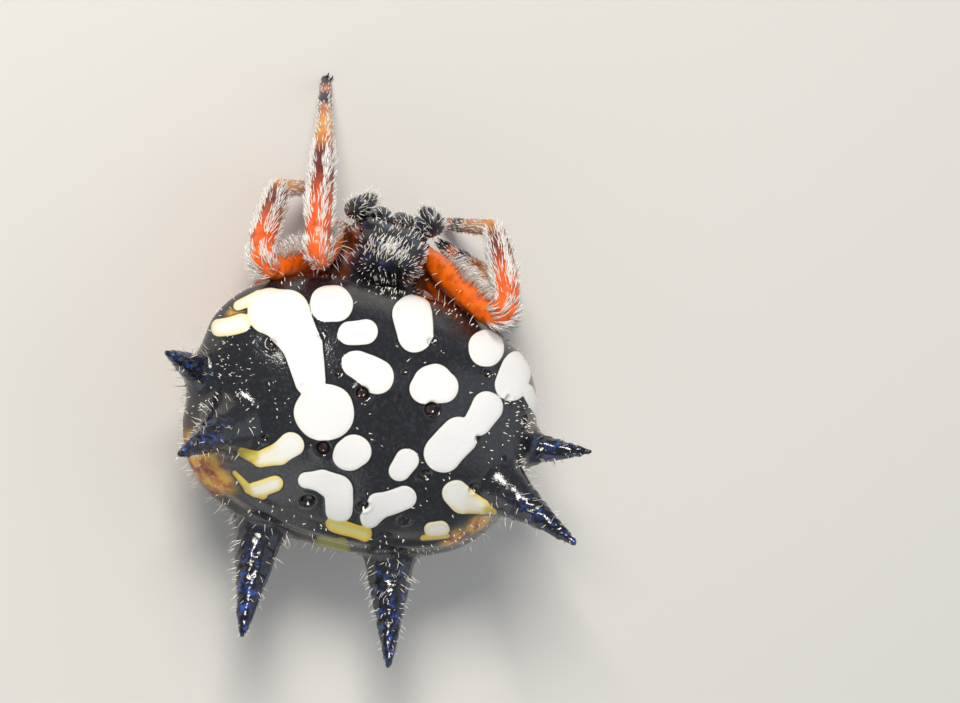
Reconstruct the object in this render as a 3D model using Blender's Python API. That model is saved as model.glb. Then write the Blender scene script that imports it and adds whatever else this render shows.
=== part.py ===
"""Christmas jewel spider, adult female, life size, standing on the floor.

+X is the animal's right, +Y its head end, +Z up. The origin is on the floor under the highest
point of the abdomen. Lengths are written in millimetres and turned to metres by MM.
"""

import math

import bmesh
import bpy
import numpy as np
from mathutils import Vector

MM = 0.001
SIDES = (("left", -1.0), ("right", 1.0))

# Joints between neighbouring plates and limb segments: the width of the seam.
SEAM = 0.10
EYE_SEAM = 0.02

# Abdomen: a flat cushion seen from above as a rounded hexagon, with a conical belly.
ABDOMEN_HALF_WIDTH = 4.80
ABDOMEN_MIDDLE_Y = -1.16
ABDOMEN_FRONT_REACH = 3.30
ABDOMEN_REAR_REACH = 3.68
ABDOMEN_PLAN_POWER = 2.7
MARGIN_HEIGHT = 3.73
MARGIN_REAR_DROP = 0.44
DORSUM_RISE = 2.31
BELLY_DEPTH = 2.83
BELLY_FRONT_TUCK = 0.32
# Powers that shape the dome above the margin and the cone below it.
DORSUM_SPREAD_POWER = 0.87
DORSUM_RISE_POWER = 1.10
BELLY_SPREAD_POWER = 1.25
BELLY_RISE_POWER = 1.50

# Spines: base on the abdomen's skin, tip, and radius where the spine leaves the skin.
# The pair names are by place: shoulder, flank and tail. Right-hand values; the left is mirrored.
SPINES = {
    "shoulder": {"base": (4.42, -1.16, 3.80), "tip": (5.88, -0.82, 5.04), "radius": 0.66},
    "flank": {"base": (3.80, -2.24, 4.92), "tip": (5.40, -3.14, 6.70), "radius": 0.82},
    "tail": {"base": (1.80, -4.24, 2.96), "tip": (2.05, -7.39, 4.50), "radius": 0.82},
}
SPINE_ROOT_DEPTH = 0.9
SPINE_ROOT_SHARE = 0.6
# How far along a spine, and how wide it is there as a share of its radius at the skin.
SPINE_STATIONS = (0.0, 0.20, 0.45, 0.68, 0.87, 1.0)
SPINE_SHARES = (1.0, 0.80, 0.53, 0.37, 0.24, 0.09)
ABDOMEN_HEART = (0.0, -1.16, 3.60)

# Spinnerets: the ring at the belly's point (levels above it) and the cones inside it.
SPINNERET_RING_LEVELS = (0.35, 0.18, 0.0, -0.12)
SPINNERET_RING_RADII = (0.52, 0.50, 0.42, 0.34)
SPINNERET_COUNT = 6
SPINNERET_SPREAD = 0.21
SPINNERET_SPLAY = 0.03
SPINNERET_LENGTH = 0.34
SPINNERET_RADII = (0.09, 0.085, 0.05)

# Head and thorax.
CARAPACE_FLOOR = 2.06
THORAX_CENTRE = (0.0, 2.45, 2.10)
THORAX_SEMI = (1.42, 1.22, 0.86)
BROW_CENTRE = (0.0, 3.06, 2.30)
BROW_SEMI = (1.07, 0.88, 1.52)
STERNUM_CENTRE = (0.0, 2.45)
STERNUM_SEMI = (0.80, 0.90)
STERNUM_TOP = 1.94
STERNUM_THICKNESS = 0.62
# Depth into the breast plate as a share of its thickness, and its width there.
STERNUM_LEVELS = (0.0, 0.30, 0.62, 0.86, 1.0)
STERNUM_SHARES = (0.90, 1.0, 0.92, 0.66, 0.34)
PEDICEL_RADIUS = 0.28
PEDICEL_LINE = ((0.0, 2.0, 2.40), (0.0, 0.4, 2.30))

CHELICERA_CENTRE = (0.32, 3.86, 2.18)
CHELICERA_SEMI = (0.27, 0.34, 0.76)
# Fangs: points of the right one's middle line, measured from the low end of its chelicera.
FANG_LINE = ((0.06, 0.0, 0.25), (0.04, 0.02, -0.10), (-0.16, -0.02, -0.29))
FANG_RADII = (0.11, 0.11, 0.04)
MOUTH_HEIGHT = 1.64
LIP_Y = 3.54
LIP_SEMI = (0.20, 0.16, 0.24)
MOUTH_PLATE_X = 0.26
MOUTH_PLATE_Y = 3.62
MOUTH_PLATE_SEMI = (0.20, 0.20, 0.26)

# Eyes: place across and up the brow as angles from straight ahead, and radius.
EYES = {
    "front_middle": {"side": 9.0, "up": 26.0, "radius": 0.075},
    "rear_middle": {"side": 12.0, "up": 45.0, "radius": 0.090},
    "front_side": {"side": 58.0, "up": 22.0, "radius": 0.065},
    "rear_side": {"side": 66.0, "up": 32.0, "radius": 0.065},
}

# Palps: the points of the right one's middle line, from the mouth to its curled tip.
PALP_LINE = (
    (0.62, 3.76, 1.70),
    (0.86, 4.00, 1.98),
    (1.10, 3.98, 2.42),
    (1.02, 4.14, 2.76),
    (0.66, 4.42, 2.60),
)
PALP_RADII = (0.15, 0.20, 0.27, 0.26, 0.13)

# Legs: coxa angle round the sternum and its heading in degrees, knee, shin end and toe.
COXA_RING_CENTRE = (0.0, 2.58)
COXA_RING_SEMI = (0.94, 1.22)
COXA_HEIGHT = 1.62
COXA_LENGTH = 0.42
LEGS = {
    "left_1": {"place": 34, "heading": 10, "knee": (-2.50, 2.70, 4.63),
               "shin": (-2.60, 5.43, 3.21), "toe": (-1.95, 7.20)},
    "left_2": {"place": 6, "heading": 2, "knee": (-3.64, 2.09, 4.02),
               "shin": (-3.27, 4.03, 2.44), "toe": (-1.26, 4.40)},
    "left_3": {"place": -20, "heading": -15, "knee": (-2.78, 1.40, 1.95),
               "shin": (-3.05, 0.45, 1.14), "toe": (-2.45, -0.10)},
    "left_4": {"place": -49, "heading": -38, "knee": (-3.47, -0.51, 1.70),
               "shin": (-3.14, -2.44, 1.14), "toe": (-2.06, -3.47)},
    "right_1": {"place": 34, "heading": 10, "knee": (2.58, 2.29, 4.93),
                "shin": (2.44, 4.34, 3.60), "toe": (2.20, 4.24)},
    "right_2": {"place": 6, "heading": 2, "knee": (3.29, 2.13, 3.00),
                "shin": (3.78, 3.00, 1.60), "toe": (2.32, 3.68)},
    "right_3": {"place": -20, "heading": -15, "knee": (2.96, 1.40, 1.98),
                "shin": (3.25, 0.45, 1.18), "toe": (2.70, -0.10)},
    "right_4": {"place": -49, "heading": -38, "knee": (3.60, -0.51, 1.72),
                "shin": (3.60, -2.44, 1.20), "toe": (2.83, -3.55)},
}
PATELLA_LENGTH = 0.62
LEG_FACETS = 12
COXA_RADIUS = 0.24
FEMUR_RADIUS = 0.37
KNEE_RADIUS = 0.30
SHIN_RADIUS = 0.33
ANKLE_RADIUS = 0.25
TARSUS_RADIUS = 0.20
TOE_RADIUS = 0.15
# Girth of each pair of legs, from the front pair back, as a share of the first.
LEG_GIRTH = (1.0, 1.0, 0.84, 0.92)

# Finishes: sRGB colour, roughness, metallic.
BLACK_CUTICLE = ("black_cuticle", (0.045, 0.047, 0.055), 0.32, 0.0)
DARK_HEAD = ("dark_head_cuticle", (0.035, 0.036, 0.042), 0.40, 0.0)
ORANGE_LIMB = ("orange_limb_cuticle", (0.86, 0.30, 0.05), 0.38, 0.0)
DARK_TOE = ("dark_toe_cuticle", (0.45, 0.16, 0.05), 0.42, 0.0)
BROWN_PLATE = ("brown_plate_cuticle", (0.20, 0.09, 0.04), 0.42, 0.0)
EYE_LENS = ("eye_lens", (0.02, 0.02, 0.03), 0.08, 0.0)


def clear_scene():
    """Takes every object out of the scene."""
    for ob in list(bpy.data.objects):
        bpy.data.objects.remove(ob, do_unlink=True)


def linear(channel):
    """One sRGB channel as linear light."""
    if channel <= 0.04045:
        return channel / 12.92
    return ((channel + 0.055) / 1.055) ** 2.4


def finish(spec):
    """The material of a finish, made once."""
    name, colour, roughness, metallic = spec
    material = bpy.data.materials.get(name)
    if material is None:
        material = bpy.data.materials.new(name)
        material.use_nodes = True
        shader = material.node_tree.nodes["Principled BSDF"]
        shader.inputs["Base Color"].default_value = (*[linear(c) for c in colour], 1.0)
        shader.inputs["Roughness"].default_value = roughness
        shader.inputs["Metallic"].default_value = metallic
    return material


def add_object(name, bm, spec):
    """Puts a mesh, drawn in millimetres, into the scene in metres."""
    bmesh.ops.scale(bm, vec=(MM, MM, MM), verts=bm.verts)
    bmesh.ops.triangulate(bm, faces=bm.faces)
    bmesh.ops.recalc_face_normals(bm, faces=bm.faces)
    mesh = bpy.data.meshes.new(name)
    bm.to_mesh(mesh)
    bm.free()
    mesh.materials.append(finish(spec))
    mesh.shade_smooth()
    ob = bpy.data.objects.new(name, mesh)
    bpy.context.scene.collection.objects.link(ob)
    return ob


def apply_modifiers(ob):
    """Makes the evaluated mesh of an object its own."""
    graph = bpy.context.evaluated_depsgraph_get()
    solid = bpy.data.meshes.new_from_object(ob.evaluated_get(graph))
    ob.modifiers.clear()
    ob.data = solid
    keep_largest_surface(ob)


def keep_largest_surface(ob):
    """Keeps the closed surface with the most area and drops scraps and slivers."""
    bm = bmesh.new()
    bm.from_mesh(ob.data)
    bmesh.ops.remove_doubles(bm, verts=bm.verts, dist=0.0015 * MM)
    bmesh.ops.dissolve_degenerate(bm, edges=bm.edges, dist=0.001 * MM)
    bmesh.ops.triangulate(bm, faces=bm.faces)
    bm.faces.ensure_lookup_table()
    island_of = {}
    areas = []
    for face in bm.faces:
        if face in island_of:
            continue
        number = len(areas)
        island_of[face] = number
        stack = [face]
        area = 0.0
        while stack:
            current = stack.pop()
            area += current.calc_area()
            for edge in current.edges:
                for near in edge.link_faces:
                    if near not in island_of:
                        island_of[near] = number
                        stack.append(near)
        areas.append(area)
    largest = areas.index(max(areas))
    scraps = [face for face, number in island_of.items() if number != largest]
    bmesh.ops.delete(bm, geom=scraps, context="FACES")
    bm.to_mesh(ob.data)
    bm.free()
    ob.data.shade_smooth()


def unite(ob, others):
    """Joins closed pieces to an object with one Boolean union, and removes them."""
    pieces = bpy.data.collections.new(ob.name + "_pieces")
    bpy.context.scene.collection.children.link(pieces)
    for other in others:
        pieces.objects.link(other)
    union = ob.modifiers.new("union", "BOOLEAN")
    union.operation = "UNION"
    union.operand_type = "COLLECTION"
    union.collection = pieces
    union.solver = "EXACT"
    apply_modifiers(ob)
    for other in others:
        bpy.data.objects.remove(other, do_unlink=True)
    bpy.data.collections.remove(pieces)


def cut_clear(ob, form):
    """Cuts an object back from a neighbour's form that was drawn one seam larger."""
    cutter = add_object("cutter", form, BLACK_CUTICLE)
    cutter.display_type = "WIRE"
    cutter.hide_render = True
    difference = ob.modifiers.new("seam", "BOOLEAN")
    difference.operation = "DIFFERENCE"
    difference.object = cutter
    difference.solver = "EXACT"
    apply_modifiers(ob)
    bpy.data.objects.remove(cutter, do_unlink=True)


def globe(segments, rings):
    """A ball of radius one, as a mesh whose points are then moved to another shape."""
    bm = bmesh.new()
    bmesh.ops.create_uvsphere(bm, u_segments=segments, v_segments=rings, radius=1.0)
    return bm


def signed_power(value, power):
    """The power of a number's size, with the number's sign kept."""
    return math.copysign(abs(value) ** power, value)


def ellipsoid(centre, semi, segments, rings, plan_power=2.0, grow=0.0):
    """A ball stretched to three half axes, squarer in plan as plan_power passes two.

    grow is added to each half axis.
    """
    semi = [half + grow for half in semi]
    bm = globe(segments, rings)
    for vertex in bm.verts:
        across = math.hypot(vertex.co.x, vertex.co.y)
        turn = math.atan2(vertex.co.y, vertex.co.x)
        side = signed_power(math.cos(turn), 2.0 / plan_power)
        ahead = signed_power(math.sin(turn), 2.0 / plan_power)
        vertex.co = Vector((
            centre[0] + semi[0] * across * side,
            centre[1] + semi[1] * across * ahead,
            centre[2] + semi[2] * vertex.co.z,
        ))
    return bm


def smooth_line(points, count):
    """Points evenly spread along a smooth curve through the given ones (Catmull-Rom)."""
    knots = np.array(points, dtype=float)
    first = 2.0 * knots[0] - knots[1]
    last = 2.0 * knots[-1] - knots[-2]
    padded = np.vstack([first, knots, last])
    fine = []
    for i in range(len(knots) - 1):
        p0, p1, p2, p3 = padded[i:i + 4]
        for t in np.linspace(0.0, 1.0, 20, endpoint=False):
            fine.append(0.5 * (
                2.0 * p1
                + (p2 - p0) * t
                + (2.0 * p0 - 5.0 * p1 + 4.0 * p2 - p3) * t * t
                + (3.0 * p1 - p0 - 3.0 * p2 + p3) * t ** 3
            ))
    fine.append(knots[-1])
    fine = np.array(fine)
    steps = np.linalg.norm(np.diff(fine, axis=0), axis=1)
    travelled = np.concatenate([[0.0], np.cumsum(steps)])
    wanted = np.linspace(0.0, travelled[-1], count)
    return np.stack([np.interp(wanted, travelled, fine[:, k]) for k in range(3)], axis=1)


def tube(line, radii, sides, start_plane=None, end_plane=None):
    """A closed limb: rings round a line, each end flat on its own plane.

    A plane is a point and a normal. Without one, an end is square to the line. The end ring
    slides along the line's direction until it lies on the plane.
    """
    count = len(line)
    places = np.linspace(0.0, 1.0, count)
    widths = np.interp(places, np.linspace(0.0, 1.0, len(radii)), radii)
    tangents = np.gradient(line, axis=0)
    tangents /= np.linalg.norm(tangents, axis=1)[:, None]
    reference = np.array([0.0, 0.0, 1.0])
    if abs(tangents[0] @ reference) > 0.9:
        reference = np.array([0.0, 1.0, 0.0])
    normal = np.cross(tangents[0], reference)
    normal /= np.linalg.norm(normal)
    bm = bmesh.new()
    rings = []
    for i in range(count):
        tangent = tangents[i]
        normal = normal - tangent * (normal @ tangent)
        normal /= np.linalg.norm(normal)
        binormal = np.cross(tangent, normal)
        ring = []
        plane = start_plane if i == 0 else end_plane if i == count - 1 else None
        for j in range(sides):
            turn = 2.0 * math.pi * j / sides
            arm = math.cos(turn) * normal + math.sin(turn) * binormal
            point = line[i] + widths[i] * arm
            if plane is not None:
                foot, facing = plane
                slide = ((foot - point) @ facing) / (tangent @ facing)
                point = point + slide * tangent
            ring.append(bm.verts.new(point))
        rings.append(ring)
    for low, high in zip(rings, rings[1:]):
        for j in range(sides):
            k = (j + 1) % sides
            bm.faces.new((low[j], low[k], high[k], high[j]))
    bm.faces.new(list(reversed(rings[0])))
    bm.faces.new(rings[-1])
    return bm


def unit(vector):
    """A vector of length one in the same direction."""
    return vector / np.linalg.norm(vector)


def abdomen_point(turn, lift, grow):
    """A point of the abdomen's skin, in millimetres, or of one that lies further out by grow.

    turn goes round the plan from the animal's right towards its head, and lift from straight
    down to straight up. The plan is a superellipse. Above the margin the height is a shallow
    dome, below it a cone whose front is tucked back over the thorax.
    """
    side = signed_power(math.cos(turn), 2.0 / ABDOMEN_PLAN_POWER)
    ahead = signed_power(math.sin(turn), 2.0 / ABDOMEN_PLAN_POWER)
    rise = math.sin(lift)
    level = abs(math.cos(lift))
    reach = grow + (ABDOMEN_FRONT_REACH if ahead > 0.0 else ABDOMEN_REAR_REACH)
    tuck = 1.0
    if rise >= 0.0:
        spread = level ** DORSUM_SPREAD_POWER
        height = (DORSUM_RISE + grow) * rise ** DORSUM_RISE_POWER
    else:
        spread = level ** BELLY_SPREAD_POWER
        height = -(BELLY_DEPTH + grow) * (-rise) ** BELLY_RISE_POWER
        if ahead > 0.0:
            tuck = 1.0 + BELLY_FRONT_TUCK * rise
    y = reach * spread * ahead * tuck
    rearward = min(1.0, max(0.0, -y / ABDOMEN_REAR_REACH))
    drop = MARGIN_REAR_DROP * rearward * (1.0 - max(0.0, -rise))
    return Vector((
        (ABDOMEN_HALF_WIDTH + grow) * spread * side,
        ABDOMEN_MIDDLE_Y + y,
        MARGIN_HEIGHT - drop + height,
    ))


def abdomen_form(grow=0.0):
    """The abdomen without its spines."""
    bm = globe(48, 24)
    for vertex in bm.verts:
        turn = math.atan2(vertex.co.y, vertex.co.x)
        lift = math.asin(max(-1.0, min(1.0, vertex.co.z)))
        vertex.co = abdomen_point(turn, lift, grow)
    return bm


def thorax_form(grow=0.0):
    """The low hind part of the carapace."""
    return ellipsoid(THORAX_CENTRE, THORAX_SEMI, 28, 14, grow=grow)


def brow_form(grow=0.0):
    """The high square front of the carapace."""
    return ellipsoid(BROW_CENTRE, BROW_SEMI, 28, 16, plan_power=2.8, grow=grow)


def jaw_form(side, grow=0.0):
    """One chelicera."""
    centre = (side * CHELICERA_CENTRE[0], *CHELICERA_CENTRE[1:])
    return ellipsoid(centre, CHELICERA_SEMI, 16, 12, plan_power=2.4, grow=grow)


def build_abdomen():
    """The abdomen with its three pairs of spines, one closed shell."""
    abdomen = add_object("abdomen", abdomen_form(), BLACK_CUTICLE)
    spines = []
    for _, side in SIDES:
        for name, spine in SPINES.items():
            spines.append(build_spine(name, side, spine))
    unite(abdomen, spines)


def build_spine(name, side, spine):
    """One spine: a broad cone that narrows early to a slim shaft, rooted inside the abdomen."""
    mirror = np.array([side, 1.0, 1.0])
    base = np.array(spine["base"]) * mirror
    tip = np.array(spine["tip"]) * mirror
    root = base + SPINE_ROOT_DEPTH * unit(np.array(ABDOMEN_HEART) - base)
    out = np.linspace(0.0, 1.0, 9)
    line = np.vstack([root, base + out[:, None] * (tip - base)])
    shares = np.interp(out, SPINE_STATIONS, SPINE_SHARES)
    radii = spine["radius"] * np.concatenate([[SPINE_ROOT_SHARE], shares])
    return add_object(f"{name}_spine", tube(line, radii, 14), BLACK_CUTICLE)


def build_carapace():
    """The shield over head and thorax: a low hind part and a high square brow."""
    thorax = add_object("carapace", thorax_form(), DARK_HEAD)
    unite(thorax, [add_object("brow", brow_form(), DARK_HEAD)])
    bm = bmesh.new()
    bm.from_mesh(thorax.data)
    cut = bmesh.ops.bisect_plane(
        bm,
        geom=bm.verts[:] + bm.edges[:] + bm.faces[:],
        plane_co=(0.0, 0.0, CARAPACE_FLOOR * MM),
        plane_no=(0.0, 0.0, 1.0),
        clear_inner=True,
    )
    rim = [item for item in cut["geom_cut"] if isinstance(item, bmesh.types.BMEdge)]
    bmesh.ops.holes_fill(bm, edges=rim)
    bm.to_mesh(thorax.data)
    bm.free()
    keep_largest_surface(thorax)
    return thorax


def build_sternum():
    """The breast plate: an oval slab, flat above and rounded below."""
    line = np.array([(0.0, 0.0, -STERNUM_THICKNESS * level) for level in STERNUM_LEVELS])
    bm = tube(line, STERNUM_SHARES, 24)
    for vertex in bm.verts:
        vertex.co = Vector((
            STERNUM_CENTRE[0] + STERNUM_SEMI[0] * vertex.co.x,
            STERNUM_CENTRE[1] + STERNUM_SEMI[1] * vertex.co.y,
            STERNUM_TOP + vertex.co.z,
        ))
    add_object("sternum", bm, BROWN_PLATE)


def build_pedicel():
    """The narrow waist between thorax and abdomen."""
    line = smooth_line(PEDICEL_LINE, 6)
    pedicel = add_object("pedicel", tube(line, (PEDICEL_RADIUS,), 14), DARK_HEAD)
    cut_clear(pedicel, abdomen_form(SEAM))
    cut_clear(pedicel, thorax_form(SEAM))


def build_jaws():
    """Both chelicerae, each with its fang."""
    for name, side in SIDES:
        chelicera = add_object(f"chelicera_{name}", jaw_form(side), DARK_HEAD)
        cut_clear(chelicera, brow_form(SEAM))
        low_end = np.array(CHELICERA_CENTRE) - np.array([0.0, 0.0, CHELICERA_SEMI[2]])
        points = (low_end + np.array(FANG_LINE)) * np.array([side, 1.0, 1.0])
        fang = add_object(
            f"fang_{name}",
            tube(smooth_line(points, 7), FANG_RADII, 10),
            BROWN_PLATE,
        )
        cut_clear(fang, jaw_form(side, EYE_SEAM))


def build_mouth():
    """The lip and the two mouth plates beside it, one piece behind the jaws."""
    lip = add_object(
        "mouth_plates",
        ellipsoid((0.0, LIP_Y, MOUTH_HEIGHT), LIP_SEMI, 10, 6),
        BROWN_PLATE,
    )
    plates = []
    for _, side in SIDES:
        plates.append(add_object(
            "mouth_plate",
            ellipsoid((side * MOUTH_PLATE_X, MOUTH_PLATE_Y, MOUTH_HEIGHT),
                      MOUTH_PLATE_SEMI, 10, 6),
            BROWN_PLATE,
        ))
    unite(lip, plates)
    for _, side in SIDES:
        cut_clear(lip, jaw_form(side, SEAM))


def build_eyes(carapace):
    """Eight eyes: four close together in front of the brow, and a pair on each side."""
    centre = np.array(BROW_CENTRE)
    for place, eye in EYES.items():
        for name, side in SIDES:
            turn = math.radians(eye["side"]) * side
            up = math.radians(eye["up"])
            heading = np.array([
                math.sin(turn) * math.cos(up),
                math.cos(turn) * math.cos(up),
                math.sin(up),
            ])
            found, point, _, _ = carapace.ray_cast(
                Vector((centre + 4.0 * heading) * MM), Vector(-heading))
            if not found:
                raise ValueError(f"the {place} eye misses the brow")
            ball = add_object(
                f"eye_{place}_{name}",
                ellipsoid(tuple(np.array(point) / MM), (eye["radius"],) * 3, 10, 6),
                EYE_LENS,
            )
            cut_clear(ball, brow_form(EYE_SEAM))


def build_spinnerets():
    """The raised ring at the belly's point and the six short spinnerets in it."""
    belly_point = np.array([0.0, ABDOMEN_MIDDLE_Y, MARGIN_HEIGHT - BELLY_DEPTH])
    upward = np.array([0.0, 0.0, 1.0])
    ring_line = belly_point + np.array(SPINNERET_RING_LEVELS)[:, None] * upward
    cluster = add_object("spinnerets", tube(ring_line, SPINNERET_RING_RADII, 16), DARK_HEAD)
    cones = []
    for i in range(SPINNERET_COUNT):
        turn = 2.0 * math.pi * (i + 0.5) / SPINNERET_COUNT
        out = np.array([math.cos(turn), math.sin(turn), 0.0])
        foot = belly_point + SPINNERET_SPREAD * out
        tip = foot + SPINNERET_SPLAY * out - SPINNERET_LENGTH * upward
        line = foot + np.linspace(0.0, 1.0, 4)[:, None] * (tip - foot)
        cones.append(add_object("cone", tube(line, SPINNERET_RADII, 6), DARK_HEAD))
    unite(cluster, cones)
    cut_clear(cluster, abdomen_form(SEAM))


def bisector(before, joint, after):
    """The normal of the plane that halves the bend at a joint."""
    return unit(unit(joint - before) + unit(after - joint))


def build_leg(name, leg):
    """One leg as three segments: thigh with its coxa, knee with shin, and foot."""
    side = -1.0 if name.startswith("left") else 1.0
    place = math.radians(leg["place"])
    heading = math.radians(leg["heading"])
    coxa = np.array([
        COXA_RING_CENTRE[0] + side * COXA_RING_SEMI[0] * math.cos(place),
        COXA_RING_CENTRE[1] + COXA_RING_SEMI[1] * math.sin(place),
        COXA_HEIGHT,
    ])
    outward = np.array([side * math.cos(heading), math.sin(heading), 0.0])
    trochanter = coxa + COXA_LENGTH * outward
    knee = np.array(leg["knee"])
    shin_end = np.array(leg["shin"])
    toe = np.array([*leg["toe"], 0.0])
    patella = PATELLA_LENGTH * unit(unit(knee - trochanter) + unit(shin_end - knee))
    thigh_end = knee - 0.5 * patella
    shin_start = knee + 0.5 * patella

    knee_facing = bisector(trochanter, thigh_end, shin_start)
    ankle_facing = bisector(shin_start, shin_end, toe)
    half = 0.5 * SEAM
    girth = LEG_GIRTH[int(name[-1]) - 1]
    thigh_radii = (COXA_RADIUS, COXA_RADIUS, FEMUR_RADIUS, FEMUR_RADIUS, KNEE_RADIUS)
    shin_radii = (KNEE_RADIUS, SHIN_RADIUS, SHIN_RADIUS, ANKLE_RADIUS)
    foot_radii = (ANKLE_RADIUS, TARSUS_RADIUS, TARSUS_RADIUS, TOE_RADIUS)

    thigh_line = smooth_line((coxa, trochanter, thigh_end), 9)
    thigh = add_object(
        f"leg_{name}_femur",
        tube(
            thigh_line,
            [girth * radius for radius in thigh_radii],
            LEG_FACETS,
            end_plane=(thigh_end - half * knee_facing, knee_facing),
        ),
        ORANGE_LIMB,
    )
    if leg["place"] > 0:
        cut_clear(thigh, thorax_form(SEAM))

    shin_line = smooth_line((thigh_end, shin_start, shin_end), 9)
    add_object(
        f"leg_{name}_tibia",
        tube(
            shin_line,
            [girth * radius for radius in shin_radii],
            LEG_FACETS,
            start_plane=(thigh_end + half * knee_facing, knee_facing),
            end_plane=(shin_end - half * ankle_facing, ankle_facing),
        ),
        ORANGE_LIMB,
    )

    down = np.array([0.0, 0.0, 1.0])
    foot_line = smooth_line((shin_end, 0.5 * (shin_end + toe), toe), 8)
    add_object(
        f"leg_{name}_tarsus",
        tube(
            foot_line,
            [girth * radius for radius in foot_radii],
            LEG_FACETS,
            start_plane=(shin_end + half * ankle_facing, ankle_facing),
            end_plane=(toe, down),
        ),
        DARK_TOE,
    )


def build_palp(name, side):
    """One palp: a short jointed feeler that arches over the jaws."""
    line = smooth_line([(side * x, y, z) for x, y, z in PALP_LINE], 13)
    palp = add_object(f"palp_{name}", tube(line, PALP_RADII, 12), DARK_HEAD)
    cut_clear(palp, jaw_form(side, SEAM))


clear_scene()
build_abdomen()
carapace = build_carapace()
build_sternum()
build_pedicel()
build_jaws()
build_mouth()
build_eyes(carapace)
build_spinnerets()
for leg_name, leg in LEGS.items():
    build_leg(leg_name, leg)
for palp_name, palp_side in SIDES:
    build_palp(palp_name, palp_side)
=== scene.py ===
"""Christmas jewel spider, adult female, life size, standing on a pale studio floor.

Lengths are in millimetres until a mesh is made. +X is the animal's right, +Y its head end,
+Z up, and the floor is at zero.
"""
import math

import bpy
import numpy as np
from mathutils import Matrix, Vector


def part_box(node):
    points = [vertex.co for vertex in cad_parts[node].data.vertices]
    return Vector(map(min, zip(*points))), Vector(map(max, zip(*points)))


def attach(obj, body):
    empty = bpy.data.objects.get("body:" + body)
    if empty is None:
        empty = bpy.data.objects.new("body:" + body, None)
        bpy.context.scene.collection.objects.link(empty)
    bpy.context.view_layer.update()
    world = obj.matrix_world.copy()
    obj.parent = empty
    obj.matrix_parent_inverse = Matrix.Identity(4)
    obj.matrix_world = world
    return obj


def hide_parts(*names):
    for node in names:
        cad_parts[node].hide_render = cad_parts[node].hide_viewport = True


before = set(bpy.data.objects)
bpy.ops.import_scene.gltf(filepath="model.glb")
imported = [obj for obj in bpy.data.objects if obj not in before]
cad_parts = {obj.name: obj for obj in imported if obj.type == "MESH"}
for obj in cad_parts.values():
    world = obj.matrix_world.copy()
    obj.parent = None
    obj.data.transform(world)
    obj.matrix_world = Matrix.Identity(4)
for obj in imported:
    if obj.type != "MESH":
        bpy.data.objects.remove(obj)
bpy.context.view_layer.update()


# Floor: a plain pale table top of pressed laminate that carries the feet and their shadow. It is
# not part of the animal, and the animal only stands on it.
MM = 0.001
FLOOR_HALF = 400.0
scene = bpy.context.scene
# Chitin and table laminate bend light about as much as each other.
IOR = 1.55


def linear(hex_colour):
    """A hex sRGB colour as linear RGBA."""
    channels = [int(hex_colour[i:i + 2], 16) / 255.0 for i in (1, 3, 5)]
    light = [c / 12.92 if c <= 0.04045 else ((c + 0.055) / 1.055) ** 2.4 for c in channels]
    return (*light, 1.0)


def material(name):
    """An empty material and its node tree."""
    made = bpy.data.materials.new(name)
    made.use_nodes = True
    made.node_tree.nodes.clear()
    return made, made.node_tree


def node(tree, kind, inputs, out=0, stops=(), **settings):
    """Adds a shader node and gives one of its outputs, by name or number.

    inputs has a value, a hex colour or another node's output for each socket's name or number,
    stops are the places and hex colours of a colour ramp, and settings are the node's own.
    """
    made = tree.nodes.new("ShaderNode" + kind)
    for key, value in settings.items():
        setattr(made, key, value)
    for socket, value in inputs.items():
        if isinstance(value, bpy.types.NodeSocket):
            tree.links.new(value, made.inputs[socket])
        else:
            made.inputs[socket].default_value = linear(value) if isinstance(value, str) else value
    if stops:
        elements = made.color_ramp.elements
        while len(elements) < len(stops):
            elements.new(0.5)
        for element, (position, colour) in zip(elements, stops):
            element.position = position
            element.color = linear(colour)
    return made.outputs[out] if len(made.outputs) else None


def store(mesh, key, values):
    """Stores one number per point on a mesh."""
    layer = mesh.attributes.new(key, "FLOAT", "POINT")
    layer.data.foreach_set("value", np.asarray(values, dtype=np.float32))


def mesh_object(name, points, faces, look, uv=None, numbers=None):
    """A smooth-shaded object from points in millimetres. uv has one pair per face corner."""
    mesh = bpy.data.meshes.new(name)
    mesh.from_pydata((np.asarray(points) * MM).tolist(), [], faces)
    mesh.materials.append(look)
    mesh.shade_smooth()
    if uv is not None:
        layer = mesh.uv_layers.new(name="OFBake")
        layer.data.foreach_set("uv", np.asarray(uv, dtype=np.float32).ravel())
    for key, values in (numbers or {}).items():
        store(mesh, key, values)
    made = bpy.data.objects.new(name, mesh)
    scene.collection.objects.link(made)
    return made


# Laminate pressed smooth and matt: an even warm white with no reflections of its own.
floor_look, tree = material("pale_table_top")
surface = node(tree, "BsdfPrincipled", {"Base Color": "#d6d3cc", "Roughness": 0.75, "IOR": IOR})
node(tree, "OutputMaterial", {"Surface": surface})
corners = [(x * FLOOR_HALF, y * FLOOR_HALF, 0.0) for x, y in ((-1, -1), (1, -1), (1, 1), (-1, 1))]
floor = mesh_object("floor", corners, [[0, 1, 2, 3]], floor_look)


# Light: a soft pale sky, a key softbox at the front left, a broad dim fill at the right, and a
# dim rim light behind the tail spines.
world = bpy.data.worlds.new("soft_sky")
world.use_nodes = True
world.node_tree.nodes["Background"].inputs["Color"].default_value = linear("#dfe6ee")
world.node_tree.nodes["Background"].inputs["Strength"].default_value = 0.38
scene.world = world

LIGHT_AIM = (0.0, 0.0, 4.0)
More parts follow.
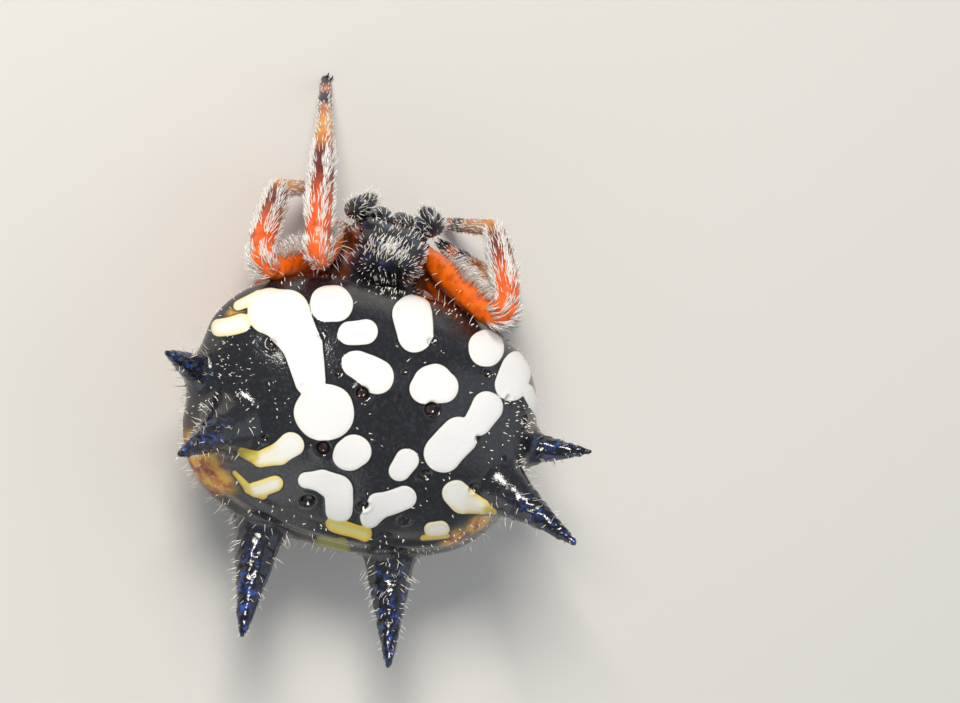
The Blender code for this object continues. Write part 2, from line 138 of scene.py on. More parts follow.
# Each softbox: place, width, power in watts, colour.
SOFTBOXES = {
    "key_softbox": ((-60.0, 70.0, 120.0), 50.0, 0.23, "#fffaf4"),
    "fill_softbox": ((110.0, 20.0, 80.0), 140.0, 0.030, "#eaf2ff"),
    "rim_softbox": ((-30.0, -120.0, 50.0), 130.0, 0.045, "#ffffff"),
}
for name, (place, width, power, colour) in SOFTBOXES.items():
    lamp = bpy.data.lights.new(name, "AREA")
    lamp.size = width * MM
    lamp.energy = power
    lamp.color = linear(colour)[:3]
    softbox = bpy.data.objects.new(name, lamp)
    way = Vector(LIGHT_AIM) - Vector(place)
    softbox.rotation_euler = way.to_track_quat("-Z", "Y").to_euler()
    softbox.location = Vector(place) * MM
    scene.collection.objects.link(softbox)


# Camera: it looks down from the animal's left, 20 degrees from straight above, and is rolled so
# that the animal's right side points to the lower right of the picture.
CAMERA_TILT = math.radians(20.0)
CAMERA_ROLL = math.radians(13.5)
CAMERA_DISTANCE = 110.0
CAMERA_SHIFT = (2.03, 0.63)
PICTURE_WIDTH = 24.67
SENSOR_WIDTH = 36.0
view_axis = np.array([-math.sin(CAMERA_TILT), 0.0, math.cos(CAMERA_TILT)])
level_axis = np.array([math.cos(CAMERA_TILT), 0.0, math.sin(CAMERA_TILT)])
head_axis = np.array([0.0, 1.0, 0.0])
right_axis = math.cos(CAMERA_ROLL) * level_axis + math.sin(CAMERA_ROLL) * head_axis
up_axis = -math.sin(CAMERA_ROLL) * level_axis + math.cos(CAMERA_ROLL) * head_axis
crown = np.array([0.0, 0.0, 6.04])
camera_place = crown + CAMERA_DISTANCE * view_axis
camera_place = camera_place + CAMERA_SHIFT[0] * right_axis + CAMERA_SHIFT[1] * up_axis
camera = bpy.data.objects.new("camera", bpy.data.cameras.new("camera"))
turned = Matrix([list(right_axis), list(up_axis), list(view_axis)]).transposed().to_4x4()
turned.translation = camera_place * MM
camera.matrix_world = turned
camera.data.lens = SENSOR_WIDTH * CAMERA_DISTANCE / PICTURE_WIDTH
camera.data.clip_start = 0.001
camera.data.clip_end = 10.0
scene.collection.objects.link(camera)
scene.camera = camera
scene.view_settings.view_transform = "Standard"


# Abdomen: a broad flat cushion of hard chitin with six spines and a conical folded belly, one
# closed skin that is held by the waist alone. White enamel-like spots stand on its back, and the
# pits where muscles are fixed inside are sunk between them.
ABDOMEN_HALF_WIDTH = 4.80
ABDOMEN_MIDDLE_Y = -1.16
ABDOMEN_FRONT_REACH = 3.30
ABDOMEN_REAR_REACH = 3.68
ABDOMEN_PLAN_POWER = 2.7
MARGIN_HEIGHT = 3.73
MARGIN_REAR_DROP = 0.44
DORSUM_RISE = 2.31
BELLY_DEPTH = 2.83
BELLY_FRONT_TUCK = 0.32
# Powers of the cosine and sine of lift, for the width and the height of dome and belly.
DOME_WIDTH_POWER, BELLY_WIDTH_POWER = 0.87, 1.25
DOME_HEIGHT_POWER, BELLY_HEIGHT_POWER = 1.10, 1.5
ABDOMEN_ROWS, ABDOMEN_COLUMNS = 90, 160
ABDOMEN_CELL = 0.055


def signed_power(value, power):
    """The power of a number's size with its sign kept."""
    return np.sign(value) * np.abs(value) ** power


def smoothstep(low, high, value):
    """Rises smoothly from 0 at low to 1 at high: three squares less two cubes."""
    t = np.clip((value - low) / (high - low), 0.0, 1.0)
    return t * t * (3.0 - 2.0 * t)


def waves(points, length, seed):
    """Smooth random relief between about -1 and 1: a sum of sine waves in random directions."""
    own = np.random.default_rng(seed)
    total = np.zeros(len(points))
    for _ in range(9):
        direction = own.normal(size=3)
        direction *= 2.0 * math.pi / (length * own.uniform(0.7, 1.4)) / np.linalg.norm(direction)
        total += np.sin(points @ direction + own.uniform(0.0, 6.28))
    return total / 4.0


def tube_faces(rows, columns):
    """Faces of a grid that closes on itself across its columns, with a cap at each end."""
    i, j = np.meshgrid(np.arange(rows - 1), np.arange(columns), indexing="ij")
    k = (j + 1) % columns
    quads = [i * columns + j, i * columns + k, (i + 1) * columns + k, (i + 1) * columns + j]
    faces = np.stack(quads, -1).reshape(-1, 4).tolist()
    faces.append(list(range(columns))[::-1])
    faces.append([(rows - 1) * columns + j for j in range(columns)])
    return faces


def frames(line):
    """Tangent, normal and binormal at each point of a line, turned as little as possible."""
    tangents = np.gradient(line, axis=0)
    tangents /= np.linalg.norm(tangents, axis=1)[:, None]
    normal = np.cross(tangents[0], (0.0, 0.0, 1.0) if abs(tangents[0][2]) < 0.9 else (0.0, 1.0, 0.0))
    normals = []
    for tangent in tangents:
        normal = normal - tangent * (normal @ tangent)
        normal = normal / np.linalg.norm(normal)
        normals.append(normal)
    normals = np.array(normals)
    return tangents, normals, np.cross(tangents, normals)


def swept(line, radii, sides):
    """Points and faces of a closed limb: a ring of sides carried along a line.

    radii has one radius for each point of the line, or one for each of its ring's sides too.
    """
    tangents, normals, binormals = frames(line)
    turn = np.linspace(0.0, 2.0 * math.pi, sides, endpoint=False)[None, :, None]
    arms = np.cos(turn) * normals[:, None] + np.sin(turn) * binormals[:, None]
    radii = np.asarray(radii, dtype=float)
    if radii.ndim == 1:
        radii = np.repeat(radii[:, None], sides, axis=1)
    points = (line[:, None] + radii[:, :, None] * arms).reshape(-1, 3)
    return points, tube_faces(len(line), sides)


def together(shapes):
    """Several (points, faces) as one."""
    points, faces, offset = [], [], 0
    for own, own_faces in shapes:
        points.append(own)
        faces += [[i + offset for i in face] for face in own_faces]
        offset += len(own)
    return np.vstack(points), faces


def read_skin(mesh):
    """A mesh's points and their normals."""
    places, facings = np.empty(len(mesh.vertices) * 3), np.empty(len(mesh.vertices) * 3)
    mesh.vertices.foreach_get("co", places)
    mesh.vertices.foreach_get("normal", facings)
    return places.reshape(-1, 3), facings.reshape(-1, 3)


def one_skin(name, shapes, cell, easing):
    """Melts closed shapes into one smooth skin. Returns the object, its points and normals."""
    points, faces = together(shapes)
    mesh = bpy.data.meshes.new(name)
    mesh.from_pydata(points.tolist(), [], faces)
    made = bpy.data.objects.new(name, mesh)
    scene.collection.objects.link(made)
    melt = made.modifiers.new("melt", "REMESH")
    melt.mode = "VOXEL"
    melt.voxel_size = cell
    ease = made.modifiers.new("ease", "SMOOTH")
    ease.factor = 0.5
    ease.iterations = easing
    graph = bpy.context.evaluated_depsgraph_get()
    skin = bpy.data.meshes.new_from_object(made.evaluated_get(graph))
    made.modifiers.clear()
    made.data = skin
    return made, *read_skin(skin)


def relax(made, points, share, rounds):
    """Draws a skin's points towards their neighbours' mean where share says; with new normals."""
    mesh = made.data
    pairs = np.empty(len(mesh.edges) * 2, dtype=np.int64)
    mesh.edges.foreach_get("vertices", pairs)
    one, other = pairs[::2], pairs[1::2]
    degree = np.bincount(pairs, minlength=len(points))
    for _ in range(rounds):
        mean = np.stack([(np.bincount(one, points[other, k], len(points))
                          + np.bincount(other, points[one, k], len(points))) / degree
                         for k in range(3)], -1)
        points = points + 0.5 * share[:, None] * (mean - points)
    mesh.vertices.foreach_set("co", points.ravel())
    mesh.update()
    return points, read_skin(mesh)[1]


def settle(made, points, look, numbers):
    """Gives a skin its final points, in millimetres, its numbers and its material."""
    mesh = made.data
    mesh.vertices.foreach_set("co", (points * MM).ravel())
    mesh.update()
    mesh.shade_smooth()
    for key, values in numbers.items():
        store(mesh, key, values)
    mesh.materials.clear()
    mesh.materials.append(look)


def abdomen_surface(turn, lift):
    """The abdomen's skin: turn goes round the plan, lift from straight down to straight up.

    In plan it is a circle squared off by a power, reaching further behind than in front. The
    height follows a power of the sine of lift, the width a power of its cosine, with a dome
    above the margin and a cone below it. The margin drops towards the rear.
    """
    side = signed_power(np.cos(turn), 2.0 / ABDOMEN_PLAN_POWER)
    ahead = signed_power(np.sin(turn), 2.0 / ABDOMEN_PLAN_POWER)
    rise = np.sin(lift)
    level = np.abs(np.cos(lift))
    above = rise >= 0.0
    spread = np.where(above, level ** DOME_WIDTH_POWER, level ** BELLY_WIDTH_POWER)
    height = np.where(above, DORSUM_RISE * np.abs(rise) ** DOME_HEIGHT_POWER,
                      -BELLY_DEPTH * np.abs(rise) ** BELLY_HEIGHT_POWER)
    tuck = np.where(~above & (ahead > 0.0), 1.0 + BELLY_FRONT_TUCK * rise, 1.0)
    reach = np.where(ahead > 0.0, ABDOMEN_FRONT_REACH, ABDOMEN_REAR_REACH)
    y = reach * spread * ahead * tuck
    rearward = np.clip(-y / ABDOMEN_REAR_REACH, 0.0, 1.0)
    drop = MARGIN_REAR_DROP * rearward * (1.0 - np.maximum(0.0, -rise))
    return np.stack([ABDOMEN_HALF_WIDTH * spread * side, ABDOMEN_MIDDLE_Y + y,
                     MARGIN_HEIGHT - drop + height], -1)


lift = np.linspace(-0.5 * math.pi + 0.02, 0.5 * math.pi - 0.02, ABDOMEN_ROWS)
turn = np.linspace(0.0, 2.0 * math.pi, ABDOMEN_COLUMNS, endpoint=False)
cushion = abdomen_surface(turn[None, :], lift[:, None]).reshape(-1, 3)

# Spines: base, tip, base radius, and its shares along the way. The left side mirrors the right.
# Each starts deep in the cushion and ends a little past the solid's blunt tip.
SPINE_STATIONS = (0.0, 0.20, 0.45, 0.68, 0.87, 1.0)
SLIM, STOUT = (1.0, 0.76, 0.46, 0.31, 0.20, 0.08), (1.0, 0.85, 0.58, 0.39, 0.24, 0.08)
SPINES = (
    ((4.42, -1.16, 3.80), (5.88, -0.82, 5.04), 0.66, SLIM),
    ((3.80, -2.24, 4.92), (5.40, -3.14, 6.70), 0.82, SLIM),
    ((1.80, -4.24, 2.96), (2.05, -7.39, 4.50), 0.82, STOUT),
)
SPINE_TIP_EXTRA = 0.16
SPINE_ROOT_DEPTH = 0.9
ABDOMEN_HEART = np.array([0.0, -1.16, 3.60])
forms = [(cushion, tube_faces(ABDOMEN_ROWS, ABDOMEN_COLUMNS))]
spine_axes = []
for side in (-1.0, 1.0):
    for base, tip, radius, shares in SPINES:
        base = np.array(base) * (side, 1.0, 1.0)
        tip = np.array(tip) * (side, 1.0, 1.0)
        inward = ABDOMEN_HEART - base
        root = base + SPINE_ROOT_DEPTH * inward / np.linalg.norm(inward)
        out = np.linspace(0.0, 1.0, 44)
        beyond = SPINE_TIP_EXTRA / np.linalg.norm(tip - base)
        line = np.vstack([root, base + (out * (1.0 + beyond))[:, None] * (tip - base)])
        widths = radius * np.interp(out, SPINE_STATIONS, shares)
        forms.append(swept(line, np.concatenate([[0.6 * radius], widths]), 32))
        spine_axes.append((base, tip, radius))
abdomen, points, normals = one_skin("abdomen_skin", forms, ABDOMEN_CELL, 6)
at_base = np.zeros(len(points))
for base, tip, radius in spine_axes:
    way = tip - base
    share = (points - base) @ way / (way @ way)
    away = np.linalg.norm(points - base - share[:, None] * way, axis=1) / radius
    at_base = np.maximum(at_base, smoothstep(0.50, 0.22, share) * smoothstep(-0.7, -0.4, share)
                         * smoothstep(2.2, 1.4, away))
points, normals = relax(abdomen, points, at_base, 90)

# White spots: tapered bars (across, up, radius, across, up, radius, yellowness) on a map sheet
# square to the view axis through the crown, in steps of SHEET_STEP millimetres. Bars that meet
# melt together over MELT steps.
SHEET_STEP = 0.0257
MELT = 1.6
SPOTS = (
    (-73, 72, 18.5, -67, 72, 18.5, 0.0),
    (12, 61, 20, 14, 41, 17.5, 0.0),
    (-52, 43, 11.5, -36, 44, 12.5, 0.0),
    (-131, 65, 23, -117, 61, 25, 0.05),
    (-117, 61, 25, -99, 31, 20, 0.0),
    (-99, 31, 20, -91, -4, 16, 0.0),
    (-78, -36, 28.5, -75, -36, 28.5, 0.0),
    (-45, 12, 14, -24, -1, 17, 0.0),
    (24, -13, 15.5, 42, -11, 16, 0.0),
    (30, -7, 18, 34, -6, 18, 0.0),
    (-52, -79, 16.5, -47, -75, 16.5, 0.0),
    (-1, -94, 11.5, 6, -84, 12, 0.0),
    (78, -45, 14.5, 86, -32, 16, 0.0),
    (58, -60, 19, 42, -77, 19.5, 0.0),
    (85, 29, 17.5, 85, 27, 17.5, 0.0),
    (116, 9, 15, 110, -9, 16, 0.0),
    (127, -15, 6.5, 137, -37, 4.5, 0.0),
    (-181, 48, 9, -160, 53, 9.5, 0.12),
    (-162, 71, 5, -142, 80, 6.5, 0.12),
    (-110, -69, 12.5, -121, -77, 11, 0.05),
    (-121, -77, 11, -140, -83, 8, 0.25),
    (-140, -83, 7, -160, -75, 4, 0.75),
    (-126, -107, 8, -145, -113, 8.5, 0.25),
    (-166, -97, 2.5, -152, -113, 4.5, 0.7),
    (-152, -113, 5, -138, -119, 4.5, 0.6),
    (-94, -105, 8.5, -80, -105, 11, 0.0),
    (-80, -105, 11, -63, -114, 14, 0.0),
    (-63, -114, 14, -62, -133, 13.5, 0.0),
    (-31, -142, 10, -21, -129, 12.5, 0.0),
    (-21, -129, 12.5, 3, -122, 11.5, 0.0),
    (54, -117, 12.5, 62, -124, 13, 0.05),
    (62, -124, 13, 80, -131, 8, 0.25),
    (80, -131, 7, 93, -136, 3, 0.75),
    (30, -154, 7.5, 40, -153, 8, 0.10),
    (22, -162, 2.5, 46, -161, 2.5, 0.65),
    (-68, -148, 6.5, -36, -157, 6.5, 0.6),
    (-79, -170, 9.5, -60, -169, 9.5, 1.0),
)
# Muscle pits: place and radius. Those over WIDE_PIT bite into a spot's edge.
WIDE_PIT = 0.17
PITS = (
    ((-0.88, -0.65, 5.99), 0.21), ((1.05, -0.65, 5.98), 0.23), ((-1.50, -2.26, 5.75), 0.21),
    ((1.38, -2.35, 5.74), 0.18), ((-3.35, 0.05, 5.30), 0.15), ((-2.43, -0.86, 5.75), 0.10),
    ((2.54, -1.12, 5.73), 0.10), ((3.27, 0.03, 5.35), 0.15), ((2.48, 0.58, 5.46), 0.13),
    ((0.78, 1.03, 5.47), 0.15), ((-1.62, -0.30, 5.88), 0.10), ((3.93, -0.40, 5.02), 0.15),
    ((2.88, -2.42, 5.37), 0.15), ((1.35, -3.63, 5.12), 0.15), ((0.08, -3.48, 5.27), 0.18),
    ((-1.35, -3.68, 5.08), 0.21), ((-2.22, 0.49, 5.57), 0.10), ((0.11, 0.12, 5.89), 0.08),
    ((0.07, -0.57, 6.01), 0.08), ((-0.26, -1.81, 5.94), 0.08), ((0.05, -1.64, 5.97), 0.08),
    ((0.39, -1.83, 5.93), 0.08), ((0.00, -1.92, 5.91), 0.08), ((3.54, -1.48, 5.27), 0.10),
    ((-2.96, -2.35, 5.37), 0.10),
)
# Amber patches at the corners of the rear margin: place and radius.
AMBER = (
    ((-4.05, -3.30, 3.90), 0.75), ((-3.60, -3.65, 4.10), 0.55), ((3.55, -3.30, 4.55), 0.40),
    ((3.00, -3.75, 4.35), 0.40), ((-4.30, 0.55, 4.45), 0.28),
)


def bar_depth(places, bar):
    """How far places on the map sheet lie inside a tapered bar (positive inside).

    The distance to the nearest place on the bar's axis, taken from the bar's radius there.
    """
    start, end = np.array(bar[0:2]), np.array(bar[3:5])
    way = end - start
    share = np.clip((places - start) @ way / (way @ way), 0.0, 1.0)
    centre = start + share[:, None] * way
    return bar[2] + share * (bar[5] - bar[2]) - np.linalg.norm(places - centre, axis=1)


def on_sheet(points):
    """Where points fall on the map sheet, seen from the camera's distance, in sheet steps."""
    from_camera = points - camera_place
    depth = -(from_camera @ view_axis)
    flat = np.stack([from_camera @ right_axis, from_camera @ up_axis], -1)
    home = np.array([(camera_place - crown) @ right_axis, (camera_place - crown) @ up_axis])
    return (flat * (CAMERA_DISTANCE / depth)[:, None] + home) / SHEET_STEP


sheet = on_sheet(points)
sheet_wobble = np.stack([waves(points, 0.9, 11), waves(points, 0.9, 12)], -1) * 0.8
inside = np.full(len(points), -90.0)
yellow = np.zeros(len(points))
for bar in SPOTS:
    depth = bar_depth(sheet + sheet_wobble, bar)
    blend = np.clip(0.5 + 0.5 * (depth - inside) / MELT, 0.0, 1.0)
    yellow = yellow * (1.0 - blend) + bar[6] * blend
    inside = inside * (1.0 - blend) + depth * blend + MELT * blend * (1.0 - blend)
inside *= SHEET_STEP
# A spot ends in a round edge where the skin turns down to the belly.
TURNING_EDGE = 0.25
SPOT_FLOOR = 2.9
turning = 3.0 * (normals @ view_axis - 0.03) + 0.05 * waves(points, 0.9, 13)
share = np.clip(0.5 + 0.5 * (turning - inside) / TURNING_EDGE, 0.0, 1.0)
inside = turning * (1.0 - share) + inside * share - TURNING_EDGE * share * (1.0 - share)
inside = np.where(points[:, 2] > SPOT_FLOOR, inside, -0.5)

# Relief: each pit is a dimple with a low rim.
PIT_DEPTH, PIT_RIM = 0.13, 0.035
pit = np.zeros(len(points))
pit_relief = np.zeros(len(points))
for place, radius in PITS:
    away = np.linalg.norm(points - np.array(place), axis=1)
    if radius > WIDE_PIT:
        inside = np.minimum(inside, away - 0.85 * radius)
    pit = np.maximum(pit, np.clip(1.0 - away / radius, 0.0, 1.0))
    pit_relief += -PIT_DEPTH * (radius / 0.2) * smoothstep(1.0, 0.45, away / radius)
    pit_relief += PIT_RIM * (radius / 0.2) * np.exp(-((away - 1.15 * radius) / (0.28 * radius)) ** 2)
on_spine = np.zeros(len(points))
for base, tip, radius in spine_axes:
    way = tip - base
    share = (points - base) @ way / (way @ way)
    away = np.linalg.norm(points - base - np.clip(share, 0.0, 1.0)[:, None] * way, axis=1)
    near = smoothstep(1.5, 1.05, away / (radius * np.interp(share, (0.0, 1.0), (1.0, 0.25))))
    on_spine = np.maximum(on_spine, near * np.clip(share, 0.0, 1.0))
height = points[:, 2]
amber = np.zeros(len(points))
for place, radius in AMBER:
    away = np.linalg.norm(points - np.array(place), axis=1)
    amber = np.maximum(amber, np.exp(-(away / radius) ** 4))
below = smoothstep(3.7, 3.2, height) * (1.0 - smoothstep(0.05, 0.25, on_spine))
rear = smoothstep(-3.6, -4.5, points[:, 1]) * smoothstep(5.0, 4.4, height)
rear *= 1.0 - smoothstep(0.0, 0.1, on_spine)

# Heights in millimetres of the raised spots, the gentle swells of the back, the folds of the
# belly and rear, and the warts of the spines.
SPOT_RISE, SWELL, FOLD, WART = 0.022, 0.018, 0.05, 0.020
folds = np.sin(9.0 * (height + 0.05 * waves(points, 1.5, 3)) * 2.0)
relief = SPOT_RISE * smoothstep(-0.03, 0.06, inside) + pit_relief
relief += SWELL * waves(points, 1.6, 1) * (1.0 - below) + FOLD * folds * below
relief += FOLD * np.sin(height * 9.0) * rear
relief += WART * waves(points, 0.22, 2) * smoothstep(0.10, 0.4, on_spine)
points = points + relief[:, None] * normals


def per_metre(size):
    """How many of a pattern's features, each of a size in millimetres, go in a metre."""
    return 1.0 / (size * MM)


# Hard black chitin with white spots of guanine under a clear layer: glossy like lacquer, finely
# pitted at 0.08 mm, and greyer where the pits show. The rim of a spot is dark outside and yellow
# inside near the rear, the pits are red-brown, the spines carry blue glints, and the soft belly
# is mottled yellow. The grains are drawn coarser than the real ones, so that they show.
cuticle, tree = material("black_cuticle_with_enamel_spots")
place = node(tree, "TexCoord", {}, "Object")
spot, pit_share, spine, gold_share, low_side, amber_share = (
    node(tree, "Attribute", {}, "Fac", attribute_name=name)
    for name in ("spot", "pit", "spine", "yellow", "below", "amber"))
clouds, grit, glints, blotches, patches, wear, pores = (
    node(tree, "TexNoise", {"Vector": place, "Scale": per_metre(size), "Detail": detail, "Roughness": 0.55},
         "Fac")
    for size, detail in ((1.43, 6.0), (0.11, 2.0), (0.19, 4.0), (0.91, 3.0), (0.38, 3.0), (0.40, 2.0),
                         (0.077, 3.0)))
ground = node(tree, "ValToRGB", {"Fac": clouds}, "Color",
              stops=((0.35, "#2a2b2f"), (0.55, "#35363a"), (0.75, "#434448")))
grains = node(tree, "ValToRGB", {"Fac": grit}, "Color",
              stops=((0.36, "#d8dbe0"), (0.44, "#8f8f96"), (0.62, "#6c6c70")))
ground = node(tree, "Mix", {0: 0.8, 6: ground, 7: grains}, 2, data_type="RGBA", blend_type="MULTIPLY")
hollow = node(tree, "ValToRGB", {"Fac": pit_share}, "Color",
              stops=((0.0, "#121115"), (0.18, "#0c0a0b"), (0.40, "#241110"), (0.9, "#331913")))
in_pit = node(tree, "MapRange", {"Value": pit_share, "From Min": 0.0, "From Max": 0.10}, "Result")
ground = node(tree, "Mix", {0: in_pit, 6: ground, 7: hollow}, 2, data_type="RGBA")
blue = node(tree, "ValToRGB", {"Fac": glints}, "Color",
            stops=((0.42, "#08090d"), (0.51, "#0e1220"), (0.59, "#1a2c60"), (0.69, "#2f55a8")))
spiny = node(tree, "MapRange", {"Value": spine, "From Min": 0.15, "From Max": 0.75}, "Result")
ground = node(tree, "Mix", {0: spiny, 6: ground, 7: blue}, 2, data_type="RGBA")
mottle = node(tree, "ValToRGB", {"Fac": blotches}, "Color",
              stops=((0.50, "#1a1513"), (0.60, "#70400f"), (0.68, "#cf9a20")))
ground = node(tree, "Mix", {0: low_side, 6: ground, 7: mottle}, 2, data_type="RGBA")
amber_tone = node(tree, "ValToRGB", {"Fac": patches}, "Color",
                  stops=((0.34, "#7a2408"), (0.45, "#c8780f"), (0.58, "#e6b62e")))
ground = node(tree, "Mix", {0: amber_share, 6: ground, 7: amber_tone}, 2, data_type="RGBA")
gold = node(tree, "ValToRGB", {"Fac": gold_share}, "Color",
            stops=((0.0, "#f0eeea"), (0.3, "#ede8d2"), (0.6, "#ddd27e"), (0.8, "#cdbf45"),
                   (1.0, "#8d8830")))
rim_gold = node(tree, "ValToRGB", {"Fac": gold_share}, "Color",
                stops=((0.0, "#eceae2"), (0.2, "#e6cd58"), (0.6, "#d9b52c"), (1.0, "#77711f")))
rim = node(tree, "MapRange", {"Value": spot, "From Min": 0.15, "From Max": 0.0}, "Result")
enamel = node(tree, "Mix", {0: rim, 6: gold, 7: rim_gold}, 2, data_type="RGBA")
outline = node(tree, "MapRange", {"Value": spot, "From Min": -0.07, "From Max": -0.012}, "Result")
ground = node(tree, "Mix", {0: outline, 6: ground, 7: "#131317"}, 2, data_type="RGBA")
edge = node(tree, "MapRange", {"Value": spot, "From Min": -0.010, "From Max": 0.010}, "Result")
colour = node(tree, "Mix", {0: edge, 6: ground, 7: enamel}, 2, data_type="RGBA")
gloss = node(tree, "ValToRGB", {"Fac": wear}, "Color", stops=((0.3, "#4c4c4c"), (0.7, "#767676")))
gloss = node(tree, "Mix", {0: edge, 6: gloss, 7: "#7c7c7c"}, 2, data_type="RGBA")
pitted = node(tree, "Bump", {"Height": pores, "Strength": 0.45, "Distance": 0.02 * MM}, "Normal")
surface = node(tree, "BsdfPrincipled", {"Base Color": colour, "Roughness": gloss, "IOR": IOR,
                                        "Normal": pitted, "Coat Weight": 0.25, "Coat Roughness": 0.18})
node(tree, "OutputMaterial", {"Surface": surface})
settle(abdomen, points, cuticle, {"spot": inside, "yellow": yellow, "pit": pit, "spine": on_spine,
                                  "amber": amber, "below": below})
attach(abdomen, "root")
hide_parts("abdomen")


# Bristles of the abdomen: stiff hollow hairs of chitin, each grown from a socket in the skin.
# Short glassy ones stand on the back, crowded at the shoulders and the rim, and longer pale ones
# on the spines and round the lower edge. The belly's are dark.
rng = np.random.default_rng(7)
DORSUM_BRISTLES, SPINE_BRISTLES, RIM_BRISTLES, BELLY_BRISTLES = 470, 430, 240, 700
ROOT_SINK = 0.01
ABDOMEN_MAP_HALF = 3.2
# A hair's stations along its length, and its width there as a share of the width at the root.
HAIR_STATIONS = np.array([0.0, 0.34, 0.70, 1.0])
HAIR_SHARES = np.array([1.0, 0.82, 0.5, 0.0])
TUFT_PATCH = 0.003


def scatter(made, weights, count):
    """Random places on a skin, as millimetres, with normals; weights has one number per point.

    A triangle is drawn by its area times its weight, and a place in it evenly.
    """
    mesh = made.data
    mesh.calc_loop_triangles()
    corners = np.empty(len(mesh.loop_triangles) * 3, dtype=np.int64)
    mesh.loop_triangles.foreach_get("vertices", corners)
    corners = corners.reshape(-1, 3)
    points, normals = read_skin(mesh)
    points = points / MM
    a, b, c = points[corners[:, 0]], points[corners[:, 1]], points[corners[:, 2]]
    share = np.linalg.norm(np.cross(b - a, c - a), axis=1) * weights[corners].mean(axis=1)
    chosen = rng.choice(len(corners), size=count, p=share / share.sum())
    r1, r2 = np.sqrt(rng.random(count)), rng.random(count)
    parts = np.stack([1.0 - r1, r1 * (1.0 - r2), r1 * r2], -1)[:, :, None]
    picked = corners[chosen]
    facing = (normals[picked] * parts).sum(axis=1)
    return (points[picked] * parts).sum(axis=1), facing / np.linalg.norm(facing, axis=1)[:, None]


def map_round(points, centre, half_height):
    """A skin's own map: across by the angle round the upright axis through its centre, and up."""
    around = np.arctan2(points[:, 1] - centre[1], points[:, 0] - centre[0]) / (2.0 * math.pi) + 0.5
    up = 0.5 + 0.5 * (points[:, 2] - centre[2]) / half_height
    return np.clip(np.stack([around, up], -1), 0.01, 0.99)


def setae(name, roots, directions, lengths, widths, bends, look, uv):
    """Curved tapering hairs in one mesh, three-sided, four stations long.

    A station's centre is the root, plus the length times the station's share of the direction
    and its square's share of the bend. A hair's UV patch is a small square at uv, where its root
    lies on the skin's own map.
    """
    count = len(roots)
    directions = directions / np.linalg.norm(directions, axis=1)[:, None]
    side = np.cross(directions, rng.normal(size=(count, 3)))
    side /= np.linalg.norm(side, axis=1)[:, None]
    other = np.cross(directions, side)
    points = []
    for station, share in zip(HAIR_STATIONS, HAIR_SHARES):
        centre = roots + lengths[:, None] * (station * directions + station ** 2 * bends)
        if share == 0.0:
            points.append(centre[:, None])
            continue
        for k in range(3):
            turn = 2.0 * math.pi * k / 3.0
            arm = math.cos(turn) * side + math.sin(turn) * other
            points.append((centre + (widths * share)[:, None] * arm)[:, None])
    points = np.concatenate(points, axis=1)
    points[:, :, 2] = np.maximum(points[:, :, 2], 0.01)
    pattern, patch = [], []
    for ring in range(2):
        for k in range(3):
            a, b = ring * 3 + k, ring * 3 + (k + 1) % 3
            pattern.append((a, b, b + 3, a + 3))
            patch.append(((k / 3, ring / 3), ((k + 1) / 3, ring / 3),
                          ((k + 1) / 3, (ring + 1) / 3), (k / 3, (ring + 1) / 3)))
    tips = [(6 + k, 6 + (k + 1) % 3, 9) for k in range(3)]
    tip_patch = [((k / 3, 2 / 3), ((k + 1) / 3, 2 / 3), ((k + 0.5) / 3, 1.0)) for k in range(3)]
    base = np.arange(count)[:, None, None] * 10
    quads = (base + np.array(pattern)[None]).reshape(-1, 4)
    triangles = (base + np.array(tips)[None]).reshape(-1, 3)
    quad_uv = (uv[:, None, None] + TUFT_PATCH * (np.array(patch)[None] - 0.5)).reshape(-1, 2)
    tip_uv = (uv[:, None, None] + TUFT_PATCH * (np.array(tip_patch)[None] - 0.5)).reshape(-1, 2)
    made = mesh_object(name, points.reshape(-1, 3), quads.tolist() + triangles.tolist(), look,
                       uv=np.clip(np.vstack([quad_uv, tip_uv]), 0.0, 1.0),
                       numbers={"along": np.tile(np.repeat(HAIR_STATIONS, (3, 3, 3, 1)), count)})
    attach(made, "root")


def hair_material(name, roughness, stops):
    """Hair that changes from one colour at its root to another at its tip."""
    made, tree = material(name)
    along = node(tree, "Attribute", {}, "Fac", attribute_name="along")
    tone = node(tree, "ValToRGB", {"Fac": along}, "Color", stops=stops)
    surface = node(tree, "BsdfPrincipled", {"Base Color": tone, "Roughness": roughness, "IOR": IOR})
    node(tree, "OutputMaterial", {"Surface": surface})
    return made


# Colourless chitin, hollow and smooth: glassy points of light, a little tan at the root.
pale_bristle = hair_material("glassy_pale_bristle", 0.22,
                             ((0.0, "#b8a284"), (0.25, "#f2ebdc"), (1.0, "#fffdf6")))
# Dark chitin that thins to a pale tip: hardly seen on the dark belly.
dark_bristle = hair_material("dark_bristle", 0.3, ((0.0, "#15110f"), (0.6, "#3a2a20"), (1.0, "#a08a6c")))

